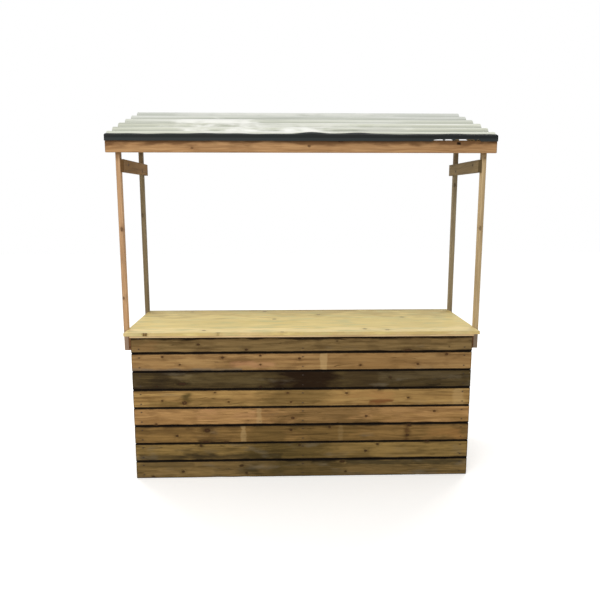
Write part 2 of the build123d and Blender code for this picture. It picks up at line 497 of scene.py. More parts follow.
    @classmethod
    def _nail_stain(cls) -> bpy.types.NodeTree:
        """Iron stain drawn out along the grain round pairs of nails.

        The nails stand at the middle and at the spacing to either side of it, in pairs above
        and below the board's middle line.

        Returns:
            The group.
        """
        g, given, out = cls._start(
            Effect.NAIL_STAIN,
            {"Spacing": 0.955, "Spread": 0.03, "Radius": 0.006, "Middle": 1.0},
            ("Vector",),
            ("Mask",),
        )
        along, across, _ = g.parts(given["Vector"])
        distance = g.maths("ABSOLUTE", along)
        outer = g.maths("ABSOLUTE", g.minus(distance, given["Spacing"]))
        centre = g.plus(distance, g.linear(given["Middle"], -9.0, 9.0))
        nearest = g.maths("MINIMUM", centre, outer)
        height = g.minus(g.maths("ABSOLUTE", across), given["Spread"])
        ellipse = g.joined(g.times(nearest, 0.45), height, 0.0)
        share = g.maths("DIVIDE", g.vectors("LENGTH", ellipse), given["Radius"])
        rough = g.linear(g.noise(given["Vector"], 90.0, 4.0), 0.9, -0.45)
        return cls._end(g, out, Mask=g.step(g.plus(share, rough), 1.0, 0.2))


def new_material(
    name: str,
) -> tuple[bpy.types.Material, Graph, bpy.types.Node, bpy.types.NodeSocket]:
    """Makes a material.

    Args:
        name: The material's name.

    Returns:
        The material, its graph, its shader, and the place in the stall's frame.
    """
    material = bpy.data.materials.new(name)
    material.use_nodes = True
    g = Graph(material.node_tree)
    shader = material.node_tree.nodes["Principled BSDF"]
    return material, g, shader, g.node("ShaderNodeTexCoord").outputs["Object"]


@dataclass(frozen=True)
class Knot:
    """A knot on a timber's face, in metres from the middle of the timber."""

    along: float
    across: float
    length: float = 0.018
    width: float = 0.012
    dark: float = 1.0


@dataclass(frozen=True)
class Patch:
    """A tinted area on a timber's face, in metres from the middle of the timber."""

    along: float
    across: float
    half_length: float
    half_width: float
    tint: Colour
    strength: float = 0.7
    softness: float = 0.012


@dataclass(frozen=True)
class Timber:
    """The timber that a material is made for, with the sockets that the finish works from."""

    g: Graph
    centre: Vector
    half: Vector
    run: Run
    position: bpy.types.NodeSocket
    place: bpy.types.NodeSocket
    grain: dict[str, bpy.types.NodeSocket]


@dataclass(frozen=True)
class TimberFinish:
    """Softwood seen on one timber: its tones, rings, weathering, knots and patches."""

    name: str
    pale: Colour
    late: Colour
    grey: Colour = srgb(116, 106, 88)
    grey_cover: float = 0.25
    grey_strength: float = 0.5
    edge: Colour = srgb(66, 50, 34)
    edge_width: float = 0.004
    edge_strength: float = 0.6
    seam_shade: float = 0.0
    marked_face: bool = False
    end_tone: float = 0.62
    knot: Colour = srgb(58, 36, 22)
    iron: Colour = srgb(44, 36, 32)
    # painted shade: the near-black that the seams between boards are given
    gap: Colour = srgb(16, 10, 6)
    ring_pitch: float = 0.007
    ring_strength: float = 0.4
    streak_strength: float = 0.45
    check_strength: float = 0.0
    drift_strength: float = 0.5
    smudge_strength: float = 0.0
    halo_strength: float = 0.4
    roughness: float = 0.68
    specular: float = 0.07
    relief: float = 0.0006
    saw_marks: float = 0.0
    knots: tuple[Knot, ...] = ()
    patches: tuple[Patch, ...] = ()
    nails: tuple[float, float, float] | None = None
    seed: int = 0

    def material(self, low: Vector, high: Vector, run: Run) -> bpy.types.Material:
        """Builds this finish for the timber between two corners.

        The grain lies on axes through the timber's middle: along, across and through it.

        Args:
            low: The timber's lowest corner.
            high: Its highest corner.
            run: Which way its grain runs.

        Returns:
            The material.
        """
        material, g, shader, position = new_material(self.name)
        centre, half = (low + high) / 2, (high - low) / 2
        axes = g.parts(g.vectors("SUBTRACT", position, tuple(centre)))
        place = g.joined(*(axes[index] for index in run.value))
        knots = self._knots(g, place)
        grain = g.use(
            Effect.GRAIN,
            Vector=place,
            Ring_Pitch=self.ring_pitch,
            Pith_Depth=0.05 + 0.013 * (self.seed % 5),
            Pith_Offset=0.02 * ((self.seed * 7) % 5 - 2),
            Seed=float(self.seed),
            Bend=knots["Bend"],
        )
        timber = Timber(g, centre, half, run, position, place, grain)
        colour = self._weathered(timber, self._patched(timber, self._wood_colour(timber)))
        colour = g.cover(colour, scaled(self.late, 0.45), knots["Halo"], self.halo_strength)
        colour = g.cover(colour, scaled(self.late, 0.5), knots["Rim"], 0.6)
        tight = g.cover(self.knot, scaled(self.late, 0.75), knots["Heart"], 0.6)
        colour = g.cover(colour, tight, knots["Core"], 0.95)
        if self.nails:
            spacing, spread, middle = self.nails
            stain = g.use(Effect.NAIL_STAIN, Vector=place, Spacing=spacing, Spread=spread, Middle=middle)
            colour = g.cover(colour, self.iron, stain["Mask"], 0.4)
        g.feed(shader.inputs["Base Color"], colour)
        rough = g.linear(grain["Fibre"], 0.2, self.roughness - 0.1)
        g.feed(shader.inputs["Roughness"], g.minus(rough, g.times(knots["Core"], 0.16)))
        shader.inputs["Specular IOR Level"].default_value = self.specular
        g.bump(shader, self._height(timber, knots["Core"]), 0.7, self.relief)
        return material

    def _knots(self, g: Graph, place: object) -> dict[str, object]:
        """Adds the knots.

        Args:
            g: The material's graph.
            place: The place on the timber.

        Returns:
            The grain's bend, and the masks of the cores, hearts, rims and halos, by name.
        """
        found: dict[str, object] = dict.fromkeys(("Bend", "Core", "Heart", "Rim", "Halo"), 0.0)
        for knot in self.knots:
            made = g.use(
                Effect.KNOT,
                Vector=place,
                Place=(knot.along, knot.across, 0.0),
                Half_Length=knot.length / 2,
                Half_Width=knot.width / 2,
            )
            found["Bend"] = g.plus(found["Bend"], made["Bend"])
            found["Heart"] = g.maths("MAXIMUM", found["Heart"], made["Heart"])
            for word in ("Core", "Rim", "Halo"):
                found[word] = g.maths("MAXIMUM", found[word], g.times(made[word], knot.dark))
        return found

    def _wood_colour(self, timber: Timber) -> object:
        """The bare wood's colour: late wood in the rings, fibres, and slow drifts of tone.

        Args:
            timber: The timber.

        Returns:
            The colour.
        """
        g, place, grain = timber.g, timber.place, timber.grain
        dark, streak = scaled(self.late, 0.55), grain["Streak"]
        light = tuple(min(1.22 * part, 0.9) for part in self.pale)
        colour = g.cover(self.pale, self.late, grain["Rings"], self.ring_strength)
        colour = g.cover(colour, self.late, g.step(grain["Fibre"], 0.62, 0.34), 0.5)
        colour = g.cover(colour, dark, g.step(streak, 0.44, 0.7), self.streak_strength)
        colour = g.cover(colour, light, g.step(streak, 0.46, 0.28), self.streak_strength * 0.5)
        drift = g.blotch(place, 0.22, 0.5, 0.24, self.seed + 3.3)
        colour = g.cover(colour, scaled(self.pale, 0.66), drift, self.drift_strength)
        if self.smudge_strength:
            smudge = g.blotch(place, 0.035, 0.42, 0.1, self.seed + 8.7)
            colour = g.cover(colour, scaled(self.late, 0.5), smudge, self.smudge_strength)
        if self.check_strength:
            colour = g.cover(colour, scaled(self.late, 0.25), grain["Check"], self.check_strength)
        return colour

    def _patched(self, timber: Timber, colour: object) -> object:
        """Lays the tinted patches over the wood, less where the fibres are low.

        Args:
            timber: The timber.
            colour: The wood's colour.

        Returns:
            The colour with its patches.
        """
        if not self.patches:
            return colour
        g, place = timber.g, timber.place
        face = g.step(g.parts(place)[2], 0.004, -0.004) if self.marked_face else 1.0
        fibrous = g.maths("MULTIPLY_ADD", timber.grain["Fibre"], 0.5, 0.72, clamp=True)
        for patch in self.patches:
            made = g.use(
                Effect.PATCH,
                Vector=place,
                Place=(patch.along, patch.across, 0.0),
                Half_Size=(patch.half_length, patch.half_width, 1.0),
                Softness=patch.softness,
            )
            share = g.times(g.times(g.times(made["Mask"], patch.strength), fibrous), face)
            colour = g.mix(share, colour, patch.tint)
        return colour

    def _weathered(self, timber: Timber, colour: object) -> object:
        """Lays grey weathering, dirty arrises, painted shade in the seams and darker end grain over the
        wood.

        Args:
            timber: The timber.
            colour: The wood's colour.

        Returns:
            The weathered colour.
        """
        g, place, half = timber.g, timber.place, timber.half
        grey = g.blotch(place, 0.06, self.grey_cover, 0.12, float(self.seed))
        colour = g.cover(colour, self.grey, grey, self.grey_strength)
        corners = {"Centre": tuple(timber.centre), "Half_Size": tuple(half)}
        worn = g.use(Effect.ARRIS, Vector=timber.position, Width=self.edge_width, **corners)
        colour = g.cover(colour, self.edge, worn["Mask"], self.edge_strength)
        along, across, _ = g.parts(g.vectors("ABSOLUTE", place))
        end, lip, _ = (half[axis] for axis in timber.run.value)
        # painted shade: the board's edges turn near-black where they go into the seams between boards
        if self.seam_shade:
            uneven = g.noise(g.vectors("MULTIPLY", place, (5.0, 24.0, 0.0)), 1.0, 3.0)
            seam = g.step(across, g.linear(uneven, -0.011, lip - 0.0008), lip - 0.0020)
            colour = g.cover(colour, self.gap, seam, self.seam_shade)
        sawn = g.step(along, end - 0.0025, end - 0.0012)
        return g.cover(colour, scaled(self.late, self.end_tone), sawn, 0.85)

    def _height(self, timber: Timber, core: object) -> object:
        """The relief's height: fibres, rings, knots that stand back, and saw marks.

        Args:
            timber: The timber.
            core: The knots' mask.

        Returns:
            The height.
        """
        g, place = timber.g, timber.place
        height = g.minus(timber.grain["Height"], g.times(core, 0.5))
        if self.saw_marks:
            along, across, _ = g.parts(place)
            wobble = g.times(g.noise(place, 5.0, 2.0), 9.0)
            marks = g.maths("SINE", g.linear(g.linear(across, 0.25, along), SAW_TEETH, wobble))
            height = g.plus(height, g.times(marks, self.saw_marks))
        return height


@dataclass(frozen=True)
class PaintedHighlight:
    """A painted highlight: a paler band on the roof, by x and by the distance up the slope, in metres."""

    x: float
    along: float
    half_length: float
    half_width: float
    strength: float


@dataclass(frozen=True)
class GalvanisedFinish:
    """Dull galvanised sheet: spangle, white bloom, water marks, painted shade in the valleys and painted
    highlights across the slope.
    """

    name: str
    zinc: Colour = srgb(222, 224, 207)
    dull: Colour = srgb(198, 201, 184)
    bloom_and_highlight: Colour = srgb(250, 250, 244)
    grime_and_valley_shade: Colour = srgb(142, 146, 132)
    blue: Colour = srgb(206, 210, 208)
    spangles_a_metre: float = 110.0
    blue_from: float = -0.10
    blue_to: float = 0.30
    shaded_below: float = 0.0325
    darkest_below: float = 0.015
    painted_highlights: tuple[PaintedHighlight, ...] = (
        PaintedHighlight(-0.28, 0.12, 0.40, 0.05, 0.95),
        PaintedHighlight(-0.52, 0.42, 0.24, 0.09, 0.90),
        PaintedHighlight(-0.10, 0.33, 0.45, 0.05, 0.45),
        PaintedHighlight(0.35, 0.19, 0.30, 0.05, 0.30),
        PaintedHighlight(-0.10, 0.72, 0.70, 0.05, 0.40),
    )

    def material(self, roof: "CorrugatedRoof") -> bpy.types.Material:
        """The sheet's material, with painted shade in the valleys of the roof's waves.

        The rise above the roof's plane is the height above the eaves times the slope's cosine,
        less the distance behind them times its sine.

        Args:
            roof: The roof, which gives the plane that the rise is measured from.

        Returns:
            The material.
        """
        material, g, shader, position = new_material(self.name)
        cells = g.node("ShaderNodeTexVoronoi", feature="F1")
        g.feed(cells.inputs["Vector"], position)
        cells.inputs["Scale"].default_value = self.spangles_a_metre
        spangle = g.parts(cells.outputs["Color"])[0]
        colour = g.cover(self.zinc, self.dull, spangle, 0.16)
        stretched = g.vectors("MULTIPLY", position, (0.6, 2.2, 2.2))
        marks = g.blotch(stretched, 0.25, 0.42, 0.16, 4.0)
        colour = g.cover(colour, self.dull, marks, 0.6)
        fine = g.blotch(position, 0.04, 0.3, 0.12, 9.0)
        colour = g.cover(colour, self.bloom_and_highlight, fine, 0.35)
        drawn = g.noise(g.vectors("MULTIPLY", position, (1.3, 26.0, 26.0)), 1.0, 4.0)
        colour = g.cover(colour, self.bloom_and_highlight, g.step(drawn, 0.52, 0.66), 0.55)
        colour = g.cover(colour, self.grime_and_valley_shade, g.step(drawn, 0.48, 0.34), 0.45)
        _, y, z = g.parts(position)
        colour = g.cover(colour, self.blue, g.step(y, self.blue_from, self.blue_to), 0.5)
        cosine, sine = math.cos(roof.slope), math.sin(roof.slope)
        upward = g.times(g.minus(z, roof.eaves_height), cosine)
        rise = g.minus(upward, g.times(g.minus(y, roof.eaves_y), sine))
        # painted shade: the sheet darker the lower it lies in a wave, darkest in the valleys
        colour = g.cover(colour, self.grime_and_valley_shade, g.step(rise, self.shaded_below, self.darkest_below), 0.75)
        # painted highlights: pale bands laid where light glints on the crowns
        for highlight in self.painted_highlights:
            middle = (highlight.x, roof.eaves_y + highlight.along * cosine, 0.0)
            half = (highlight.half_length, highlight.half_width, 1.0)
            pale = g.use(Effect.PATCH, Vector=position, Place=middle, Half_Size=half, Softness=0.06)
            colour = g.cover(colour, self.bloom_and_highlight, pale["Mask"], highlight.strength)
        g.feed(shader.inputs["Base Color"], colour)
        g.feed(shader.inputs["Metallic"], g.linear(fine, -0.2, 0.7))
        rough = g.linear(marks, 0.12, 0.28)
        g.feed(shader.inputs["Roughness"], g.linear(spangle, 0.05, rough))
        g.bump(shader, g.noise(stretched, 6.0, 3.0), 0.35, 0.002)
        return material


@dataclass(frozen=True)
class RubberFinish:
    """Matt black flashing strip: dusty, with a bluish face and a fine felted grain."""

    name: str
    black: Colour = srgb(10, 13, 11)
    dusty: Colour = srgb(52, 58, 58)
    specular: float = 0.25
    dusty_from: float = 2.001
    dusty_to: float = 1.995

    def material(self) -> bpy.types.Material:
        """Builds the strip's material.

        Returns:
            The material.
        """
        material, g, shader, position = new_material(self.name)
        dust = g.blotch(position, 0.05, 0.45, 0.2, 2.0)
        skirt = g.step(g.parts(position)[2], self.dusty_from, self.dusty_to)
        share = g.linear(dust, 0.35, g.times(skirt, 0.45))
        g.feed(shader.inputs["Base Color"], g.mix(share, self.black, self.dusty))
        g.feed(shader.inputs["Roughness"], g.linear(dust, 0.25, 0.6))
        shader.inputs["Specular IOR Level"].default_value = self.specular
        g.bump(shader, g.noise(position, 420.0, 4.0), 0.5, 0.0006)
        return material


@dataclass(frozen=True)
class NailFinish:
    """Nail heads gone brown with rust, with worn steel left in the middle of some."""

    name: str
    rust: Colour = srgb(58, 38, 26)
    steel: Colour = srgb(66, 60, 56)

    def material(self) -> bpy.types.Material:
        """Builds the nail heads' material.

        Returns:
            The material.
        """
        material, g, shader, position = new_material(self.name)
        worn = g.blotch(position, 0.006, 0.45, 0.1, 1.0)
        g.feed(shader.inputs["Base Color"], g.mix(worn, self.rust, self.steel))
        g.feed(shader.inputs["Metallic"], g.linear(worn, 0.5, 0.1))
        g.feed(shader.inputs["Roughness"], g.linear(worn, -0.25, 0.75))
        return material


def signed_volume(points: Array, quads: Array) -> float:
    """Six times the volume inside a closed shell, negative if its faces point inwards.

    Each face gives the product of its first corner with the cross product of its diagonals.
    """
    a, b, c, d = (points[quads[:, corner]] for corner in range(4))
    return float(np.einsum("ij,ij->", a + b + c + d, np.cross(c - a, d - b)))


def tube_quads(stations: int, around: int) -> Array:
    """The faces between closed rings of points, one ring per station.

    Args:
        stations: How many rings.
        around: How many points each ring has.

    Returns:
        An array of four point numbers a face.
    """
    along = np.arange(stations - 1)[:, None] * around
    here, ahead = np.arange(around)[None, :], (np.arange(around)[None, :] + 1) % around
    corners = (along + here, along + ahead, along + around + ahead, along + around + here)
    return np.stack(corners, axis=-1).reshape(-1, 4)


def tube_caps(stations: int, around: int) -> Array:
    """The faces that close a tube of rings at its ends.

    Args:
        stations: How many rings.
        around: How many points each ring has.

    Returns:
        The point numbers of the first ring, turned over, and of the last.
    """
    ring = np.arange(around)
    return np.array([ring[::-1], (stations - 1) * around + ring])


def make_piece(
    name: str, points: Array, quads: Array, material: bpy.types.Material, caps: Array | None = None
) -> bpy.types.Object:
    """Puts a closed shell into a mesh with its faces outwards.

    Args:
        name: The piece's name.
        points: One row of x, y and z for each point.
        quads: Four point numbers for each face.
        material: The piece's finish.
        caps: The rings that close the shell's ends, one row of point numbers each.

    Returns:
        The piece's object, riding on the stall.
    """
    if signed_volume(points, quads) < 0:
        quads = quads[:, ::-1]
        caps = None if caps is None else caps[:, ::-1]
    faces = quads.tolist() + ([] if caps is None else caps.tolist())
    mesh = bpy.data.meshes.new(name)
    mesh.from_pydata(points.tolist(), [], faces)
    mesh.polygons.foreach_set("use_smooth", np.ones(len(faces), bool))
    mesh.materials.append(material)
    mesh.validate()
    piece = bpy.data.objects.new(name, mesh)
    bpy.context.scene.collection.objects.link(piece)
    mesh.set_sharp_from_angle(angle=SHARP_ANGLE)
    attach(piece, "root")
    return piece


def slow_waves(along: Array, random: np.random.Generator, count: int = 4) -> Array:
    """A smooth seeded line of values within -1 to 1: a sum of sines of random length.

    Args:
        along: Places along the timber in metres.
        random: The seeded generator.
        count: How many sines are added.

    Returns:
        One value a place.
    """
    lengths = random.uniform(0.12, 0.9, count)[:, None]
    phases = random.uniform(0, 2 * np.pi, count)[:, None]
    return np.sin(2 * np.pi * along[None, :] / lengths + phases).mean(axis=0)


@dataclass
class SawnBoard:
    """A reclaimed board: a rounded oblong carried along the grain, its edges uneven."""

    low: Vector
    high: Vector
    run: Run
    seed: int
    ragged: float = 1.0
    grow_up: float = 0.0
    grow_down: float = 0.0
    front_corner: float = 0.0042
    back_corner: float = 0.0012
    step: float = 0.0125
    face_wear: float = 0.0005
    edge_wear: float = 0.0007
    nick_count: int = 5
    saw_slant: float = 0.0008
    end_wear: float = 0.0012
    end_inset: float = 0.003

    def shell(self) -> tuple[Array, Array, Array]:
        """Works out the board's surface.

        The section is an oblong with corners worn rounder at its face than at its back. Along
        the board the face's two arrises draw in by slow waves and a few nicks, the face by
        less, and the ends by the saw's slope. The edges swell a little into the seams.

        Returns:
            The points, the faces along the board and the two end rings.
        """
        random = np.random.default_rng(self.seed)
        length, width, depth = ((self.high - self.low)[axis] for axis in self.run.value)
        across, through = self._section(width, depth)
        stations = max(int(length / self.step), 8)
        along = np.linspace(-length / 2, length / 2, stations)
        upper = self._edge(along, random)
        lower = self._edge(along, random)
        share = across / (width / 2)
        fore = np.clip(0.5 - through / depth, 0, 1) ** 3
        inward = np.where(share[None, :] > 0, -upper[:, None], lower[:, None])
        pull = inward * (np.abs(share) * fore)[None, :]
        pull = pull + (np.where(share > 0, self.grow_up, -self.grow_down) * share**2)[None, :]
        face = self.face_wear * self.ragged * (1 + slow_waves(along, random))[:, None]
        push = face * np.sign(-through)[None, :] * (1 - 0.5 * share[None, :] ** 2)
        slant = random.uniform(-self.saw_slant, self.saw_slant, 2)
        ends = np.abs(along) / (length / 2)
        cut = np.where(along > 0, slant[0], slant[1])[:, None] * share[None, :]
        keep = self.end_wear + np.abs(cut)
        stretch = 1 - (ends[:, None] > 0.999) * (keep / (length / 2))
        grid = np.empty((stations + 2, len(across), 3))
        grid[1:-1, :, 0] = along[:, None] * stretch
        grid[1:-1, :, 1] = across[None, :] + pull
        grid[1:-1, :, 2] = through[None, :] + push
        inset = np.array([1 - self.end_inset / width, 1 - self.end_inset / depth])
        for ring, beside, end in ((0, 1, -1), (-1, -2, 1)):
            grid[ring, :, 0] = end * (length / 2 - np.abs(cut[0 if end < 0 else -1]))
            grid[ring, :, 1:] = grid[beside, :, 1:] * inset
        local = grid.reshape(-1, 3)
        points = np.empty_like(local)
        centre = (self.low + self.high) / 2
        for index, axis in enumerate(self.run.value):
            points[:, axis] = local[:, index] + centre[axis]
        rings, around = stations + 2, len(across)
        return points, tube_quads(rings, around), tube_caps(rings, around)

    def piece(self, name: str, finish: TimberFinish) -> bpy.types.Object:
        """The board as a piece with its finish."""
        points, quads, caps = self.shell()
        return make_piece(name, points, quads, finish.material(self.low, self.high, self.run), caps)

    def _section(self, width: float, depth: float) -> tuple[Array, Array]:
        """The section's ring: quarter circles at the corners and even steps between them.

        Args:
            width: Across the face.
            depth: Through the board.

        Returns:
            The ring's places across and through the board.
        """
        turn = np.linspace(0, np.pi / 2, 5)
        flat = np.linspace(-1, 1, 9)[1:-1] * (width / 2 - self.front_corner)
        corners = []
        for across, through, start in ((1, 1, 0), (-1, 1, 1), (-1, -1, 2), (1, -1, 3)):
            corner = self.back_corner if through > 0 else self.front_corner
            angle = turn + start * np.pi / 2
            arc_across = across * (width / 2 - corner) + corner * np.cos(angle)
            arc_through = through * (depth / 2 - corner) + corner * np.sin(angle)
            corners.append((arc_across, arc_through))
        back = (flat[::-1], np.full(len(flat), depth / 2))
        front = (flat, np.full(len(flat), -depth / 2))
        pieces = (corners[0], back, corners[1], corners[2], front, corners[3])
        return np.concatenate([p[0] for p in pieces]), np.concatenate([p[1] for p in pieces])

    def _edge(self, along: Array, random: np.random.Generator) -> Array:
        """How far an edge draws in: slow waves and a few bell-shaped nicks.

        Args:
            along: Places along the board.
            random: The seeded generator.

        Returns:
            The inward shift at each place, in metres.
        """
        base = self.edge_wear * self.ragged * (1 + slow_waves(along, random, 6))
        middles = random.uniform(along[0], along[-1], self.nick_count)[:, None]
        widths = random.uniform(0.01, 0.045, self.nick_count)[:, None]
        depths = random.uniform(0.0004, 0.0026, self.nick_count)[:, None] * self.ragged
        return base + (depths * bell(along[None, :], middles, widths)).sum(axis=0)


@dataclass
class Cladding:
    """Eight boards across the front and eight down each side, with their nails."""

    rows: int = 8
    board_width: float = 0.105
    board_pitch: float = 0.111
    nail_spread: float = 0.030
    nail_radius: float = 0.0032
    front_nails: float = 0.955
    side_nails: float = 0.300
    nail_sides: int = 12
    swelling: float = 0.0022
    roughest_row: int = 6
    roughest_wear: float = 1.5

    def build(self) -> list[bpy.types.Object]:
        """Builds every board and the nail heads.

        Returns:
            The front boards, the lowest board of each side and the nail heads.
        """
        made = [self._front_board(row) for row in range(1, self.rows + 1)]
        made += [self._side(side) for side in Side]
        made.append(self._nail_heads())
        return made

    def _front_board(self, row: int) -> bpy.types.Object:
        """Builds one front board.

        Args:
            row: Its number from the lowest.

        Returns:
            The board.
        """
        low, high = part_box(f"front_board_{row}")
        finish = front_board_finish(row, (self.front_nails, self.nail_spread, 1.0))
        ragged = self.roughest_wear if row == self.roughest_row else 1.0
        board = SawnBoard(low, high, Run.ACROSS_FRONT, 40 + row, ragged, *self._swelling(row))
        piece = board.piece(f"board_front_{row}", finish)
        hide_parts(f"front_board_{row}")
        return piece

    def _swelling(self, row: int) -> tuple[float, float]:
        """How far a row's upper and lower edges swell, with none at the counter and the floor."""
        return self.swelling * (row < self.rows), self.swelling * (row > 1)

    def _side(self, side: Side) -> bpy.types.Object:
        """Builds the boards of one side as pieces, and hides their one CAD node behind them.

        Args:
            side: Which side.

        Returns:
            The lowest board of the side.
        """
        node = f"side_cladding_{side.word}"
        low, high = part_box(node)
        pieces = []
        for row in range(1, self.rows + 1):
            foot = (row - 1) * self.board_pitch
            start = Vector((low.x, low.y, foot))
            stop = Vector((high.x, high.y, foot + self.board_width))
            seed = 80 + row + 20 * (side is Side.RIGHT)
            finish = side_board_finish(side, row, (self.side_nails, self.nail_spread, 0.0))
            board = SawnBoard(start, stop, Run.DOWN_SIDE, seed, 1.0, *self._swelling(row))
            piece = board.piece(f"board_{side.word}_{row}", finish)
            pieces.append(piece)
        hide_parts(node)
        return pieces[0]

    def _nail_places(self) -> tuple[Array, Array]:
        """Works out where the nails are: pairs at the ends of every board, and in the front's middle.

        Returns:
            One row of x, y and z for each nail, and one row for the way that its head faces.
        """
        rows = (np.arange(self.rows) * self.board_pitch + self.board_width / 2)[:, None, None]
        heights = rows + np.array([-self.nail_spread, self.nail_spread])[None, None, :]
        front_x = np.array([-self.front_nails, 0.0, self.front_nails])[None, :, None]
        low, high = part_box("side_cladding_right")
        side_y = (low.y + high.y) / 2 + np.array([-self.side_nails, self.side_nails])[None, :, None]
        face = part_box("front_board_1")[0].y
        x, z = np.broadcast_arrays(front_x, heights)
        places = [np.stack([x, np.full_like(x, face), z], -1).reshape(-1, 3)]
        facing = [np.tile([0.0, -1.0, 0.0], (x.size, 1))]
        y, z = np.broadcast_arrays(side_y, heights)
        for side in Side:
            places.append(np.stack([np.full_like(y, side.value * high.x), y, z], -1).reshape(-1, 3))
            facing.append(np.tile([float(side.value), 0.0, 0.0], (y.size, 1)))
        return np.concatenate(places), np.concatenate(facing)

    def _nail_heads(self) -> bpy.types.Object:
        """Builds all the nail heads as one piece.

        A head is a shallow dome of rings, each with its share of the radius and its rise above
        the board's face. The first ring goes into the board.

        Returns:
            The nail heads.
        """
        random = np.random.default_rng(7)
        places, facing = self._nail_places()
        places[:, 2] += random.uniform(-0.0012, 0.0012, len(places))
        sizes = self.nail_radius * random.uniform(0.85, 1.1, len(places))
        shares = np.array([1.0, 1.0, 0.75, 0.4])
        rises = np.array([-0.0012, 0.00005, 0.0004, 0.00065])
        rings, around = len(shares), self.nail_sides
        angle = np.linspace(0, 2 * np.pi, around + 1)[:-1]
        upright = np.array([0.0, 0.0, 1.0])
        level = np.cross(facing, upright)
        reach = (shares[None, :, None] * sizes[:, None, None])[..., None]
        points = places[:, None, None, :] + reach * np.cos(angle)[:, None] * level[:, None, None, :]
        points = points + reach * np.sin(angle)[:, None] * upright
        points = points + rises[:, None, None] * facing[:, None, None, :]
        firsts = (np.arange(len(places)) * rings * around)[:, None, None]
        quads = (firsts + tube_quads(rings, around)).reshape(-1, 4)
        caps = (firsts + tube_caps(rings, around)).reshape(-1, around)
        material = NailFinish("nail_steel").material()
        piece = make_piece("cladding_nails", points.reshape(-1, 3), quads, material, caps)
        return piece


